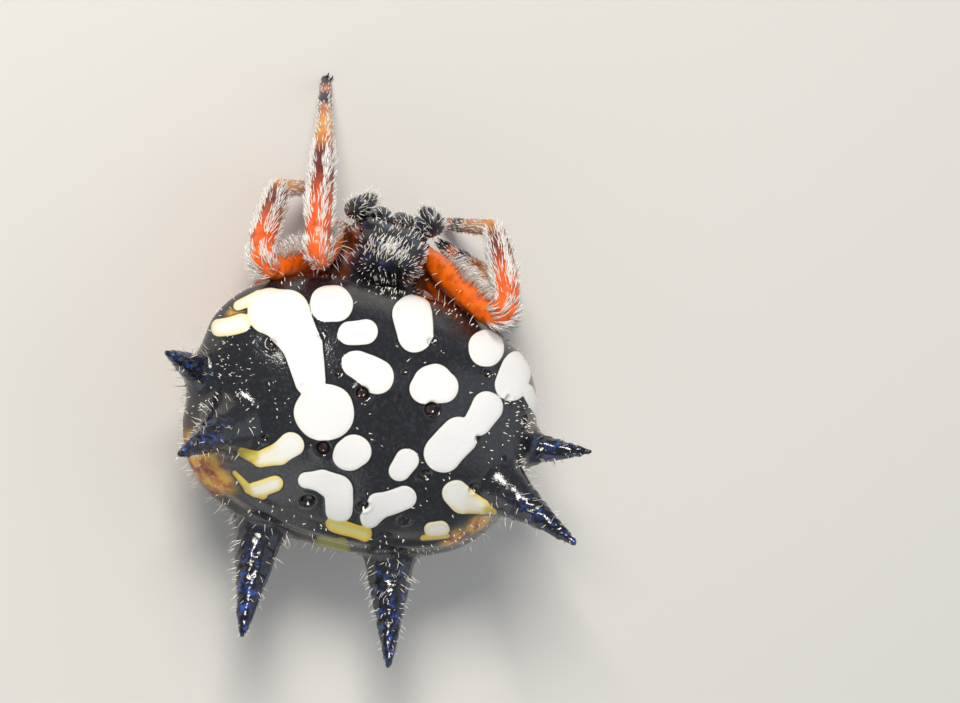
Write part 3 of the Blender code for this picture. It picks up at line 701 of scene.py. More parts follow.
MAP_CENTRE = np.array([0.0, ABDOMEN_MIDDLE_Y, MARGIN_HEIGHT])
off_spots = smoothstep(0.0, -0.06, inside)
shoulder = np.exp(-(np.linalg.norm(points - (-3.9, -1.0, 4.7), axis=1) / 1.15) ** 2)
shoulder += np.exp(-(np.linalg.norm(points - (3.9, -0.6, 4.9), axis=1) / 1.0) ** 2)
plan_reach = (np.abs(points[:, 0] / ABDOMEN_HALF_WIDTH) ** 2.7
              + np.abs((points[:, 1] - ABDOMEN_MIDDLE_Y) / 3.4) ** 2.7) ** (1.0 / 2.7)
on_rim = np.exp(-((plan_reach - 0.93) / 0.07) ** 2)
above = smoothstep(3.4, 3.9, points[:, 2])
off_spines = 1.0 - smoothstep(0.05, 0.2, on_spine)
roots, facings = scatter(abdomen, off_spots * above * (0.13 + 1.4 * shoulder + 0.45 * on_rim) * off_spines,
                         DORSUM_BRISTLES)
count = len(roots)
setae("dorsum_bristles", roots - ROOT_SINK * facings, facings + 0.25 * rng.normal(size=(count, 3)),
      rng.uniform(0.06, 0.12, count), rng.uniform(0.017, 0.026, count),
      0.2 * rng.normal(size=(count, 3)), pale_bristle, map_round(roots, MAP_CENTRE, ABDOMEN_MAP_HALF))

# The spines' bristles lean towards the tip and are shorter there.
roots, facings = scatter(abdomen, smoothstep(0.04, 0.14, on_spine) * (0.35 + on_spine), SPINE_BRISTLES)
nearest = np.argmin([np.linalg.norm(roots - tip, axis=1) for _, tip, _ in spine_axes], axis=0)
long = np.array([np.linalg.norm(tip - base) for base, tip, _ in spine_axes])[nearest]
ways = np.array([(tip - base) / np.linalg.norm(tip - base) for base, tip, _ in spine_axes])[nearest]
low_ends = np.array([base for base, _, _ in spine_axes])[nearest]
reach = ((roots - low_ends) * ways).sum(axis=1) / long
count = len(roots)
setae("spine_bristles", roots - ROOT_SINK * facings,
      facings + 0.30 * ways + 0.22 * rng.normal(size=(count, 3)),
      (1.0 - 0.6 * np.clip(reach, 0.0, 1.0)) * rng.uniform(0.20, 0.46, count),
      rng.uniform(0.011, 0.016, count), 0.15 * ways + 0.12 * rng.normal(size=(count, 3)),
      pale_bristle, map_round(roots, MAP_CENTRE, ABDOMEN_MAP_HALF))

lower_rim = np.exp(-((points[:, 2] - 3.35) / 0.45) ** 2) * smoothstep(1.5, -0.5, points[:, 1])
roots, facings = scatter(abdomen, lower_rim * off_spines, RIM_BRISTLES)
count = len(roots)
setae("rim_bristles", roots - ROOT_SINK * facings,
      facings + (0.0, 0.0, -0.3) + 0.25 * rng.normal(size=(count, 3)),
      rng.uniform(0.15, 0.36, count), rng.uniform(0.010, 0.014, count),
      np.array([0.0, -0.1, -0.3]) + 0.12 * rng.normal(size=(count, 3)), pale_bristle,
      map_round(roots, MAP_CENTRE, ABDOMEN_MAP_HALF))

roots, facings = scatter(abdomen, below, BELLY_BRISTLES)
count = len(roots)
setae("belly_bristles", roots - ROOT_SINK * facings,
      facings + (0.0, -0.5, 0.0) + 0.2 * rng.normal(size=(count, 3)),
      rng.uniform(0.10, 0.20, count), rng.uniform(0.008, 0.011, count),
      0.15 * rng.normal(size=(count, 3)), dark_bristle, map_round(roots, MAP_CENTRE, ABDOMEN_MAP_HALF))


# Carapace: the hard chitin shield of the head and thorax, a low hind part and a high square brow,
# grown as one closed skin. It carries the eyes in low rings, and a thick patch of pale hair left
# of the middle of the brow. The legs and jaws hinge under its edge.
CARAPACE_FLOOR = 2.06
CARAPACE_CELL = 0.045
THORAX, THORAX_SEMI = (0.0, 2.45, 2.10), (1.42, 1.22, 0.86)
BROW, BROW_SEMI = np.array([0.0, 3.06, 2.30]), np.array([1.07, 0.88, 1.52])
BROW_BOSS = (0.66, 3.22, 3.62)
BROW_HAIRS, CARAPACE_HAIRS = 170, 330
HEAD_MAP_HALF = 1.8
EYE_RADIUS = {"side": 0.065, "rear_middle": 0.09, "front_middle": 0.075}


def ball(centre, semi, rows=24, columns=32, plan_power=2.0):
    """Points and faces of a ball with three half axes, squarer in plan as plan_power passes two.

    Cosines and sines of turn are raised to two over plan_power, and shrink with the cosine of
    lift, while the height is the sine of lift.
    """
    lift = np.linspace(-0.5 * math.pi + 0.04, 0.5 * math.pi - 0.04, rows)[:, None]
    turn = np.linspace(0.0, 2.0 * math.pi, columns, endpoint=False)[None, :]
    x = np.cos(lift) * signed_power(np.cos(turn), 2.0 / plan_power)
    y = np.cos(lift) * signed_power(np.sin(turn), 2.0 / plan_power)
    z = np.sin(lift) + 0.0 * turn
    points = (np.array(centre) + np.array(semi) * np.stack([x, y, z], -1)).reshape(-1, 3)
    return points, tube_faces(rows, columns)


# Chitin nearly black, smooth with 0.07 mm pores: a soft gloss, a faint blue sheen on the crown,
# and warm brown flanks and eye rings where it is thinner. The pores of this and of the next
# pieces are drawn coarser than the real ones, so that they show.
dark_cuticle, tree = material("dark_head_cuticle")
place = node(tree, "TexCoord", {}, "Object")
clouds, flecks, sheens, pores = (
    node(tree, "TexNoise", {"Vector": place, "Scale": per_metre(size), "Detail": detail, "Roughness": 0.55},
         "Fac")
    for size, detail in ((0.67, 4.0), (0.45, 3.0), (0.38, 2.0), (0.067, 3.0)))
black = node(tree, "ValToRGB", {"Fac": clouds}, "Color",
             stops=((0.35, "#131419"), (0.6, "#22242b"), (0.8, "#2c2522")))
brown = node(tree, "ValToRGB", {"Fac": flecks}, "Color", stops=((0.35, "#3a1d0e"), (0.65, "#8f481a")))
flank_share = node(tree, "Attribute", {}, "Fac", attribute_name="flank")
thin = node(tree, "MapRange", {"Value": flank_share, "From Min": 0.2, "From Max": 0.9}, "Result")
tone = node(tree, "Mix", {0: thin, 6: black, 7: brown}, 2, data_type="RGBA")
sheen = node(tree, "ValToRGB", {"Fac": sheens}, "Color", stops=((0.52, "#000000"), (0.66, "#1c2a58")))
tone = node(tree, "Mix", {0: 0.6, 6: tone, 7: sheen}, 2, data_type="RGBA", blend_type="ADD")
pitted = node(tree, "Bump", {"Height": pores, "Strength": 0.4, "Distance": 0.02 * MM}, "Normal")
surface = node(tree, "BsdfPrincipled", {"Base Color": tone, "Roughness": 0.34, "IOR": IOR, "Normal": pitted,
                                        "Coat Weight": 0.3, "Coat Roughness": 0.15})
node(tree, "OutputMaterial", {"Surface": surface})

# The eyes' places are those of the solids in the frame.
EYES = {}
for eye in [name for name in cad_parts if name.startswith("eye_")]:
    eye_low, eye_high = (np.array(corner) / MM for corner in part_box(eye))
    kind = next(kind for kind in EYE_RADIUS if kind in eye)
    EYES[eye] = (0.5 * (eye_low + eye_high), EYE_RADIUS[kind])

carapace, points, normals = one_skin("carapace_skin", (
    ball(THORAX, THORAX_SEMI),
    ball(BROW, BROW_SEMI, plan_power=2.8),
), CARAPACE_CELL, 14)
# Relief: a dimple over the stomach, a groove between head and thorax, two bosses on the brow,
# and a low ring round each eye.
fovea = np.exp(-((points[:, 0] / 0.16) ** 2 + ((points[:, 1] - 1.75) / 0.3) ** 2)) * (points[:, 2] > 2.3)
groove = np.exp(-((np.abs(points[:, 0]) - 0.95 - 0.2 * (3.0 - points[:, 1])) / 0.10) ** 2)
groove *= points[:, 1] < 3.2
relief = 0.014 * waves(points, 0.7, 21) - 0.10 * fovea - 0.04 * groove * (points[:, 2] > 2.3)
for side in (-1.0, 1.0):
    boss = np.linalg.norm(points - np.array(BROW_BOSS) * (side, 1.0, 1.0), axis=1)
    relief += 0.11 * smoothstep(0.27, 0.10, boss)
orbit, to_eye = np.zeros(len(points)), np.full(len(points), 9.0)
for centre, radius in EYES.values():
    away = np.linalg.norm(points - centre, axis=1)
    orbit = np.maximum(orbit, np.exp(-((away - 1.35 * radius) / 0.035) ** 2))
    to_eye = np.minimum(to_eye, away)
relief += 0.018 * orbit
bare = smoothstep(0.13, 0.22, to_eye)
points = points + relief[:, None] * normals
flank = smoothstep(0.80, 1.05, np.abs(points[:, 0])) * smoothstep(3.7, 3.0, points[:, 2])
flank = np.maximum(flank, smoothstep(2.3, 1.9, points[:, 1]) * 0.6)
points[:, 2] = np.maximum(points[:, 2], CARAPACE_FLOOR)
settle(carapace, points, dark_cuticle, {"flank": np.maximum(flank, 0.75 * orbit)})
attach(carapace, "root")
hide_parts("carapace")

# White scale-like hairs, solid chitin: silky white, a little tan at the root.
white_hair = hair_material("pale_silky_hair", 0.30, ((0.0, "#c9bda8"), (0.3, "#f0ece2"), (1.0, "#ffffff")))

# The patch on the brow lies forward, and the rest of the carapace has short hair that stands up.
crown_weight = bare * np.exp(-((points[:, 0] + 0.30) / 0.46) ** 4 - ((points[:, 1] - 3.08) / 0.28) ** 4)
crown_weight *= points[:, 2] > 3.2
roots, facings = scatter(carapace, crown_weight, BROW_HAIRS)
count = len(roots)
lie = np.array([0.25, 1.0, 0.15]) + 0.22 * rng.normal(size=(count, 3))
lie -= (lie * facings).sum(axis=1)[:, None] * facings
setae("brow_hair", roots - ROOT_SINK * facings, lie + 0.38 * facings, rng.uniform(0.15, 0.27, count),
      rng.uniform(0.011, 0.017, count), -0.22 * facings, white_hair, map_round(roots, BROW, HEAD_MAP_HALF))

spare = bare * (1.0 - 0.85 * crown_weight) * (points[:, 2] > 2.2)
spare *= 0.4 + smoothstep(2.6, 3.6, points[:, 2])
roots, facings = scatter(carapace, spare, CARAPACE_HAIRS)
count = len(roots)
lie = np.array([0.1, 0.9, 0.2]) + 0.3 * rng.normal(size=(count, 3))
lie -= (lie * facings).sum(axis=1)[:, None] * facings
setae("carapace_hair", roots - ROOT_SINK * facings, 0.4 * lie + 0.8 * facings,
      rng.uniform(0.08, 0.15, count), rng.uniform(0.012, 0.019, count), 0.2 * lie, white_hair,
      map_round(roots, BROW, HEAD_MAP_HALF))


# Jaws, fangs and palps: two stout hinged jaws under the brow, each with a curved fang, and two
# short limbs beside them. All are hollow chitin, held here in the resting pose.
JAW, JAW_SEMI = np.array([0.32, 3.86, 2.18]), np.array([0.27, 0.34, 0.76])
FANG_LINE = np.array(((0.06, 0.0, 0.25), (0.04, 0.02, -0.10), (-0.16, -0.02, -0.29)))
PALP_LINE = np.array(((0.62, 3.76, 1.70), (0.86, 4.00, 1.98), (1.10, 3.98, 2.42), (1.02, 4.14, 2.76),
                      (0.66, 4.42, 2.60)))
FANG_RINGS, PALP_RINGS, PALP_SIDES = 24, 90, 28
PALP_JOINTS, PALP_PINCH = (0.30, 0.55, 0.72), 0.16
JAW_HAIRS, PALP_HAIRS = 110, 190


def smooth_line(points, count):
    """Points evenly spread along a Catmull-Rom curve through the given ones."""
    knots = np.array(points, dtype=float)
    padded = np.vstack([2.0 * knots[0] - knots[1], knots, 2.0 * knots[-1] - knots[-2]])
    t = np.linspace(0.0, 1.0, 30, endpoint=False)[:, None]
    fine = []
    for i in range(len(knots) - 1):
        p0, p1, p2, p3 = padded[i:i + 4]
        fine.append(0.5 * (2.0 * p1 + (p2 - p0) * t + (2.0 * p0 - 5.0 * p1 + 4.0 * p2 - p3) * t * t
                           + (3.0 * p1 - p0 - 3.0 * p2 + p3) * t ** 3))
    fine = np.vstack(fine + [knots[-1:]])
    travelled = np.concatenate([[0.0], np.cumsum(np.linalg.norm(np.diff(fine, axis=0), axis=1))])
    wanted = np.linspace(0.0, travelled[-1], count)
    return np.stack([np.interp(wanted, travelled, fine[:, k]) for k in range(3)], axis=1)


def plain_skin(name, shapes, look, node_name):
    """One object from closed shapes, standing for a CAD node."""
    own, faces = together(shapes)
    made = mesh_object(name, own, faces, look, numbers={"flank": np.zeros(len(own))})
    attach(made, "root")
    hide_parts(node_name)
    return made


def fur(name, skin, weights, count, lie, lift, lengths, widths, centre, half_height):
    """White hair on a skin: lies along a heading, raised by lift."""
    roots, facings = scatter(skin, weights, count)
    heading = np.array(lie) + 0.28 * rng.normal(size=(count, 3))
    heading -= (heading * facings).sum(axis=1)[:, None] * facings
    setae(name, roots - 0.008 * facings, heading + lift * facings, rng.uniform(*lengths, count),
          rng.uniform(*widths, count), 0.2 * heading - 0.1 * facings, white_hair,
          map_round(roots, centre, half_height))


# Thinner chitin, red-brown where the light passes in: smooth, with 0.07 mm pores.
brown_plate, tree = material("brown_mouth_cuticle")
place = node(tree, "TexCoord", {}, "Object")
clouds, pores = (
    node(tree, "TexNoise", {"Vector": place, "Scale": per_metre(size), "Detail": detail, "Roughness": 0.55},
         "Fac")
    for size, detail in ((0.45, 4.0), (0.071, 3.0)))
tone = node(tree, "ValToRGB", {"Fac": clouds}, "Color",
            stops=((0.3, "#2a140b"), (0.55, "#5a2c14"), (0.8, "#8a5426")))
pitted = node(tree, "Bump", {"Height": pores, "Strength": 0.3, "Distance": 0.02 * MM}, "Normal")
surface = node(tree, "BsdfPrincipled", {"Base Color": tone, "Roughness": 0.3, "IOR": IOR, "Normal": pitted})
node(tree, "OutputMaterial", {"Surface": surface})

for name, side in (("left", -1.0), ("right", 1.0)):
    mirror = np.array([side, 1.0, 1.0])
    own, faces = ball(JAW * mirror, JAW_SEMI, 40, 36, plan_power=2.4)
    bulge = 0.035 * np.exp(-((own[:, 2] - 2.65) / 0.25) ** 2) + 0.012 * waves(own, 0.4, 31)
    own = own + bulge[:, None] * (own - JAW * mirror) / JAW_SEMI
    jaw = plain_skin(f"jaw_{name}", [(own, faces)], dark_cuticle, f"chelicera_{name}")
    fur(f"jaw_hair_{name}", jaw, np.ones(len(own)) * (own[:, 1] > 3.8) + 0.1, JAW_HAIRS, (0.0, 0.3, -0.9),
        0.8, (0.10, 0.22), (0.011, 0.016), JAW * mirror, 0.8)
    line = smooth_line((JAW - (0.0, 0.0, JAW_SEMI[2]) + FANG_LINE) * mirror, FANG_RINGS)
    widths = np.interp(np.linspace(0, 1, FANG_RINGS), (0.0, 0.5, 0.85, 1.0), (0.11, 0.10, 0.05, 0.015))
    plain_skin(f"fang_{name}_skin", [swept(line, widths, 20)], brown_plate, f"fang_{name}")
    line = smooth_line(PALP_LINE * mirror, PALP_RINGS)
    share = np.linspace(0.0, 1.0, PALP_RINGS)
    widths = np.interp(share, (0.0, 0.25, 0.5, 0.75, 0.93, 1.0), (0.15, 0.20, 0.27, 0.26, 0.17, 0.08))
    for joint in PALP_JOINTS:
        widths = widths * (1.0 - PALP_PINCH * np.exp(-((share - joint) / 0.025) ** 2))
    own, faces = swept(line, widths, PALP_SIDES)
    own = own + 0.006 * waves(own, 0.35, 32)[:, None]
    palp = plain_skin(f"palp_{name}_skin", [(own, faces)], dark_cuticle, f"palp_{name}")
    fur(f"palp_hair_{name}", palp, 0.3 + np.repeat(share, PALP_SIDES), PALP_HAIRS, (-0.4 * side, 0.7, 0.3),
        0.9, (0.12, 0.28), (0.011, 0.017), PALP_LINE[2] * mirror, 0.9)


# Underside: the lip and mouth plates, the breast plate between the legs, the ringed waist, and
# the six spinnerets in their collar at the belly's point. All are brown or black chitin.
STERNUM_CENTRE, STERNUM_SEMI = np.array([0.0, 2.45, 1.94]), np.array([0.80, 0.90, 0.62])
STERNUM_HAIRS, SPINNERET_HAIRS = 260, 220
WAIST_LINE = ((0.0, 1.98, 2.40), (0.0, 1.2, 2.34), (0.0, 0.42, 2.30))
WAIST_RADIUS, WAIST_RIPPLE = 0.26, 0.02
BELLY_POINT = np.array([0.0, ABDOMEN_MIDDLE_Y, MARGIN_HEIGHT - BELLY_DEPTH])
COLLAR_LEVELS = np.array((0.32, 0.24, 0.18, 0.09, 0.0, -0.08, -0.12))
COLLAR_RADII = np.array((0.50, 0.52, 0.50, 0.47, 0.42, 0.38, 0.32))
SPINNERET_SPREAD, SPINNERET_SPLAY, SPINNERET_LENGTH = 0.21, 0.03, 0.34

plain_skin("mouth_skin", [ball((0.0, 3.54, 1.64), (0.20, 0.16, 0.24)),
                          ball((0.26, 3.62, 1.64), (0.20, 0.20, 0.26)),
                          ball((-0.26, 3.62, 1.64), (0.20, 0.20, 0.26))],
           brown_plate, "mouth_plates")
levels = np.array((0.0, 0.04, 0.30, 0.62, 0.86, 0.97, 1.0))
shares = np.interp(levels, (0.0, 0.04, 0.30, 0.62, 0.86, 1.0), (0.86, 0.93, 1.0, 0.92, 0.66, 0.34))
own, faces = swept(np.stack([0.0 * levels, 0.0 * levels, -levels], -1), shares, 48)
own[:, 0] *= 1.0 - 0.16 * np.clip(-own[:, 1], 0.0, 1.0)
own = STERNUM_CENTRE + STERNUM_SEMI * own
own[:, 2] += 0.012 * waves(own, 0.5, 41)
sternum = plain_skin("breast_plate", [(own, faces)], brown_plate, "sternum")
fur("breast_hair", sternum, (own[:, 2] < 1.85) + 0.0, STERNUM_HAIRS, (0.0, 0.8, 0.0), 0.7, (0.10, 0.20),
    (0.008, 0.011), np.array([0.0, 2.45, 1.6]), 0.5)
ripple = WAIST_RADIUS + WAIST_RIPPLE * np.sin(np.linspace(0.0, 40.0, 60))
plain_skin("waist", [swept(smooth_line(WAIST_LINE, 60), ripple, 32)], dark_cuticle, "pedicel")

collar = BELLY_POINT + COLLAR_LEVELS[:, None] * (0.0, 0.0, 1.0)
parts = [swept(collar, COLLAR_RADII, 40)]
for i in range(6):
    turn = math.radians(60.0 * i + 30.0)
    out = np.array([math.cos(turn), math.sin(turn), 0.0])
    foot = BELLY_POINT + SPINNERET_SPREAD * out
    tip = foot + SPINNERET_SPLAY * out - (0.0, 0.0, SPINNERET_LENGTH)
    cone_line = foot + np.linspace(0.0, 1.0, 10)[:, None] * (tip - foot)
    parts.append(swept(cone_line, np.interp(np.linspace(0, 1, 10), (0, 0.45, 0.5, 0.55, 1),
                                            (0.092, 0.088, 0.075, 0.082, 0.045)), 18))
spinnerets = plain_skin("spinneret_skin", parts, brown_plate, "spinnerets")
fur("spinneret_hair", spinnerets, np.ones(len(spinnerets.data.vertices)), SPINNERET_HAIRS, (0.0, 0.0, -0.9),
    0.6, (0.06, 0.13), (0.006, 0.008), BELLY_POINT, 0.5)


# Eyes: eight round lenses of clear chitin over dark tissue, four in the middle of the brow and a
# pair on each side. Each is fixed in its own low ring of the carapace.

# Clear polished chitin over black: a wet point of light, with a red-brown depth of 0.17 mm clouds.
lens, tree = material("eye_lens")
place = node(tree, "TexCoord", {}, "Object")
clouds = node(tree, "TexNoise", {"Vector": place, "Scale": per_metre(0.17), "Detail": 2.0,
                                 "Roughness": 0.55}, "Fac")
tone = node(tree, "ValToRGB", {"Fac": clouds}, "Color",
            stops=((0.35, "#060405"), (0.55, "#160a07"), (0.75, "#34140a")))
surface = node(tree, "BsdfPrincipled", {"Base Color": tone, "Roughness": 0.04, "IOR": IOR,
                                        "Coat Weight": 1.0, "Coat Roughness": 0.02})
node(tree, "OutputMaterial", {"Surface": surface})
for eye, (centre, radius) in EYES.items():
    plain_skin(eye + "_lens", [ball(centre, (radius,) * 3, 20, 24)], lens, eye)


# Legs: eight hollow jointed tubes of orange chitin, ringed with brown and blue-black towards the
# foot, each one skin from hip to toe, with ranks of white hair and a pair of small claws.

# Each leg: angles in degrees of the hip's place and heading, knee, end of the shin, and toe.
LEGS = {
    "left_1": (34, 10, (-2.50, 2.70, 4.63), (-2.60, 5.43, 3.21), (-1.95, 7.20)),
    "left_2": (6, 2, (-3.64, 2.09, 4.02), (-3.27, 4.03, 2.44), (-1.26, 4.40)),
    "left_3": (-20, -15, (-2.78, 1.40, 1.95), (-3.05, 0.45, 1.14), (-2.45, -0.10)),
    "left_4": (-49, -38, (-3.47, -0.51, 1.70), (-3.14, -2.44, 1.14), (-2.06, -3.47)),
    "right_1": (34, 10, (2.58, 2.29, 4.93), (2.44, 4.34, 3.60), (2.20, 4.24)),
    "right_2": (6, 2, (3.29, 2.13, 3.00), (3.78, 3.00, 1.60), (2.32, 3.68)),
    "right_3": (-20, -15, (2.96, 1.40, 1.98), (3.25, 0.45, 1.18), (2.70, -0.10)),
    "right_4": (-49, -38, (3.60, -0.51, 1.72), (3.60, -2.44, 1.20), (2.83, -3.55)),
}
HIP_RING_CENTRE, HIP_RING_SEMI, HIP_HEIGHT = (0.0, 2.58), (0.94, 1.22), 1.62
COXA_LENGTH, PATELLA_LENGTH = 0.42, 0.62
# Segment numbers: 0 coxa, 1 hip, 2 and 3 the knee's two ends, 4 end of the shin, 5 toe.
RADIUS_STATIONS = (0.0, 1.0, 1.4, 1.7, 2.0, 2.5, 3.0, 3.3, 3.7, 4.0, 4.3, 4.7, 5.0)
RADII = (0.24, 0.25, 0.37, 0.37, 0.30, 0.32, 0.31, 0.33, 0.31, 0.24, 0.20, 0.19, 0.14)
LEG_JOINTS, LEG_PINCH = (1.0, 2.0, 3.0, 4.0, 4.55), 0.14
RIB_SHARE, ROUGH_SHARE = 0.018, 0.03
LEG_GIRTH = (1.0, 1.0, 0.84, 0.92)
LEG_SIDES = 32
FRONT_LEG_HAIRS, HIND_LEG_HAIRS = 1500, 700
HAIR_LENGTH_STATIONS = (1.0, 2.0, 3.0, 3.3, 4.0, 4.3, 5.0)
HAIR_LENGTHS = (0.52, 0.46, 0.22, 0.28, 0.24, 0.14, 0.09)
# Ranks of hair round a leg: degrees from the top, spread in degrees, and thickness.
HAIR_RANKS = ((0.0, 14.0, 1.2), (-88.0, 20.0, 1.5), (88.0, 20.0, 1.5))
THIGH_LIFT, SHIN_LIFT = 2.0, 0.66

# Orange chitin, thin enough to glow a little: smooth satin with 0.3 mm streaks and 0.09 mm pores,
# banded from hip (left end of the ramp) to toe (right end).
orange_limb, tree = material("orange_limb_cuticle")
place = node(tree, "TexCoord", {}, "Object")
streaky, pores = (
    node(tree, "TexNoise", {"Vector": place, "Scale": per_metre(size), "Detail": detail, "Roughness": 0.55},
         "Fac")
    for size, detail in ((0.29, 4.0), (0.091, 3.0)))
down_leg = node(tree, "Attribute", {}, "Fac", attribute_name="segment")
down_leg = node(tree, "MapRange", {"Value": down_leg, "From Min": 0.0, "From Max": 5.0}, "Result")
bands = node(tree, "ValToRGB", {"Fac": down_leg}, "Color", stops=(
    (0.0, "#4a2a14"), (0.12, "#b05a0c"), (0.20, "#ea6a0a"), (0.40, "#f06c0b"), (0.56, "#f06611"),
    (0.66, "#e05a16"), (0.70, "#a8421a"), (0.735, "#6a2520"), (0.775, "#7a3020"), (0.80, "#cf7c24"),
    (0.84, "#e09a34"), (0.875, "#c8763a"), (0.905, "#b06a40"), (0.915, "#1c2136"), (0.938, "#1f2438"),
    (0.95, "#b85f28"), (0.968, "#a85224"), (0.978, "#14161d")))
streaks = node(tree, "ValToRGB", {"Fac": streaky}, "Color",
               stops=((0.30, "#8a4a2a"), (0.52, "#ffffff"), (0.8, "#ffe2b0")))
tone = node(tree, "Mix", {0: 0.55, 6: bands, 7: streaks}, 2, data_type="RGBA", blend_type="MULTIPLY")
pitted = node(tree, "Bump", {"Height": pores, "Strength": 0.4, "Distance": 0.02 * MM}, "Normal")
surface = node(tree, "BsdfPrincipled", {"Base Color": tone, "Roughness": 0.33, "IOR": IOR, "Normal": pitted,
                                        "Subsurface Weight": 0.06, "Subsurface Scale": 0.0002,
                                        "Subsurface Radius": (1.0, 0.4, 0.15)})
node(tree, "OutputMaterial", {"Surface": surface})

# Solid dark chitin worn smooth: black with a hint of brown in 0.11 mm clouds.
claw_horn, tree = material("claw_horn")
place = node(tree, "TexCoord", {}, "Object")
clouds = node(tree, "TexNoise", {"Vector": place, "Scale": per_metre(0.11), "Detail": 3.0,
                                 "Roughness": 0.55}, "Fac")
tone = node(tree, "ValToRGB", {"Fac": clouds}, "Color", stops=((0.3, "#0b0b0d"), (0.8, "#241a14")))
surface = node(tree, "BsdfPrincipled", {"Base Color": tone, "Roughness": 0.2, "IOR": IOR})
node(tree, "OutputMaterial", {"Surface": surface})


def unit(vector):
    """The same direction at length one."""
    return vector / np.linalg.norm(vector)


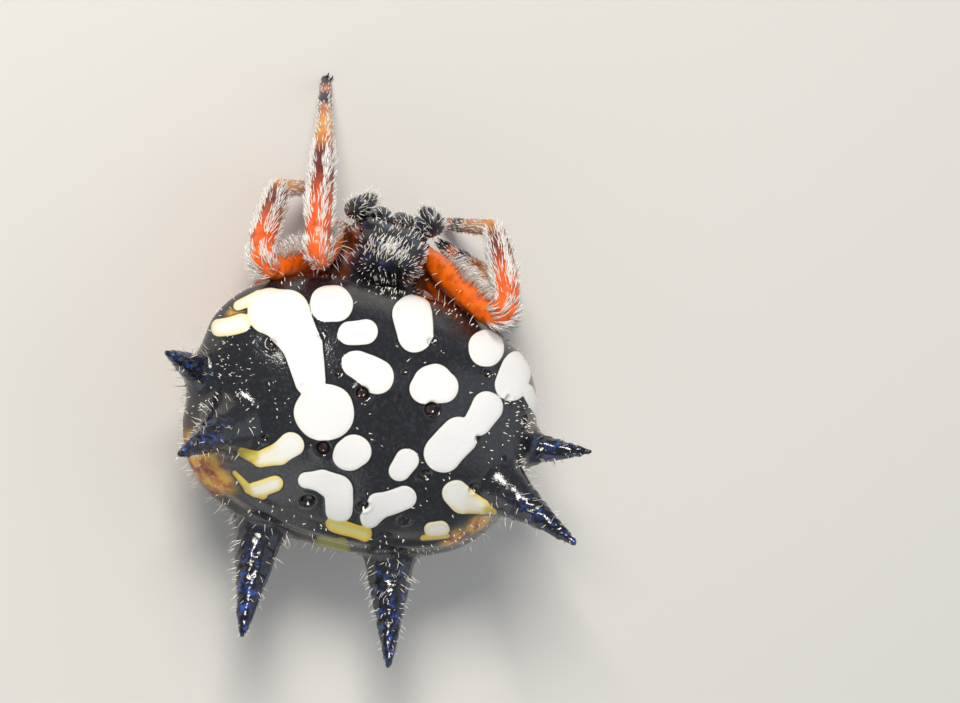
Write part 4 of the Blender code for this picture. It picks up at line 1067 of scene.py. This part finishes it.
for name, (place, heading, knee, shin_end, toe) in LEGS.items():
    side = -1.0 if name.startswith("left") else 1.0
    front = name[-1] in "12"
    girth = LEG_GIRTH[int(name[-1]) - 1]
    place, heading = math.radians(place), math.radians(heading)
    coxa = np.array([side * HIP_RING_SEMI[0] * math.cos(place),
                     HIP_RING_CENTRE[1] + HIP_RING_SEMI[1] * math.sin(place), HIP_HEIGHT])
    hip = coxa + COXA_LENGTH * np.array([side * math.cos(heading), math.sin(heading), 0.0])
    knee, shin_end, toe = np.array(knee), np.array(shin_end), np.array([*toe, 0.0])
    patella = PATELLA_LENGTH * unit(unit(knee - hip) + unit(shin_end - knee))
    knee_in, knee_out = knee - 0.5 * patella, knee + 0.5 * patella
    # Course: from the coxa to the toe, with its corners eased.
    stops = [coxa, hip, knee_in, knee_out, shin_end, toe]
    pieces = [smooth_line((coxa, hip, knee_in), 50), smooth_line((knee_in, knee_out, shin_end), 60),
              smooth_line((shin_end, 0.5 * (shin_end + toe), toe), 50)]
    line = np.vstack([pieces[0], pieces[1][1:], pieces[2][1:]])
    stop_at = [int(np.argmin(np.linalg.norm(line - stop, axis=1))) for stop in stops]
    segment = np.interp(np.arange(len(line)), stop_at, range(6))
    eased = line.copy()
    for k in range(3):
        eased[3:-3, k] = np.convolve(line[:, k], np.ones(7) / 7.0, mode="valid")

    # Skin: thinner at each joint, with six faint ribs along it.
    radii = np.interp(segment, RADIUS_STATIONS, RADII)
    for joint in LEG_JOINTS:
        radii = radii * (1.0 - LEG_PINCH * np.exp(-((segment - joint) / 0.035) ** 2))
    turn = np.linspace(0.0, 2.0 * math.pi, LEG_SIDES, endpoint=False)
    ribbed = girth * radii[:, None] * (1.0 + RIB_SHARE * np.cos(6.0 * turn)[None, :])
    points, faces = swept(eased, ribbed, LEG_SIDES)
    out = points - np.repeat(eased, LEG_SIDES, axis=0)
    points = points + (ROUGH_SHARE * waves(points, 0.30, 51))[:, None] * out
    points[:, 2] = np.maximum(points[:, 2], 0.0)
    rank = np.repeat(segment, LEG_SIDES)
    leg = mesh_object(f"leg_{name}", points, faces, orange_limb, numbers={"segment": rank})
    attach(leg, "root")
    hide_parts(*[f"leg_{name}_{part}" for part in ("femur", "tibia", "tarsus")])

    # Hair: a comb on the thigh's front edge, and ranks on top and down both sides of the shin.
    tangents, _, _ = frames(eased)
    tangent = np.repeat(tangents, LEG_SIDES, axis=0)
    out /= np.linalg.norm(out, axis=1)[:, None]
    upper = np.array([0.0, 0.35, 1.0]) - (tangent @ (0.0, 0.35, 1.0))[:, None] * tangent
    upper /= np.linalg.norm(upper, axis=1)[:, None]
    beside = np.cross(tangent, upper)
    angle = np.degrees(np.arctan2((out * beside).sum(axis=1), (out * upper).sum(axis=1)))
    ranks = np.zeros(len(angle))
    for lane, spread, thickness in HAIR_RANKS:
        ranks += thickness * np.exp(-((angle - lane) / spread) ** 2)
    shin = smoothstep(3.05, 3.2, rank) * smoothstep(4.02, 3.95, rank)
    thigh = smoothstep(1.2, 1.5, rank) * smoothstep(2.0, 1.9, rank)
    kneecap = smoothstep(2.0, 2.2, rank) * smoothstep(3.05, 2.9, rank)
    foot = smoothstep(4.0, 4.1, rank) * smoothstep(4.98, 4.9, rank)
    forward = smoothstep(0.80, 0.97, out @ (0.0, 0.97, 0.22))
    weights = (shin * (0.04 + ranks) + thigh * (0.015 + 0.8 * forward)
               + kneecap * (0.06 + 0.7 * ranks) + foot * (0.10 + 0.30 * ranks))
    count = FRONT_LEG_HAIRS if front else HIND_LEG_HAIRS
    roots, facings = scatter(leg, weights, count)
    nearest = np.argmin(((roots[:, None] - eased[None, ::3]) ** 2).sum(axis=2), axis=1) * 3
    ways = tangents[nearest]
    own_segment = segment[nearest]
    lengths = np.interp(own_segment, HAIR_LENGTH_STATIONS, HAIR_LENGTHS)
    lifts = np.where(own_segment < 2.0, THIGH_LIFT, SHIN_LIFT)
    along_and_up = [np.clip(own_segment / 5.0, 0.01, 0.99),
                    0.5 + 0.49 * np.clip((facings * (0.0, 0.0, 1.0)).sum(axis=1), -1.0, 1.0)]
    setae(f"leg_hair_{name}", roots - 0.008 * facings,
          ways + lifts[:, None] * facings + 0.16 * rng.normal(size=(count, 3)),
          lengths * girth * rng.uniform(0.7, 1.15, count), rng.uniform(0.012, 0.018, count),
          0.18 * ways - 0.12 * facings, white_hair, np.stack(along_and_up, -1))

    # Two hooked claws at the toe.
    claws = []
    ahead = unit(np.array([tangents[-1][0], tangents[-1][1], 0.0]))
    across = np.cross(ahead, (0.0, 0.0, 1.0))
    for half in (-1.0, 1.0):
        start = toe + 0.07 * half * across + (0.0, 0.0, 0.10) + 0.08 * ahead
        hook = smooth_line((start, start + 0.09 * ahead + (0.0, 0.0, 0.01),
                            start + 0.13 * ahead - (0.0, 0.0, 0.07)), 9)
        claws.append(swept(hook, np.linspace(0.030, 0.006, 9), 8))
    own, faces = together(claws)
    claw = mesh_object(f"claws_{name}", own, faces, claw_horn)
    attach(claw, "root")
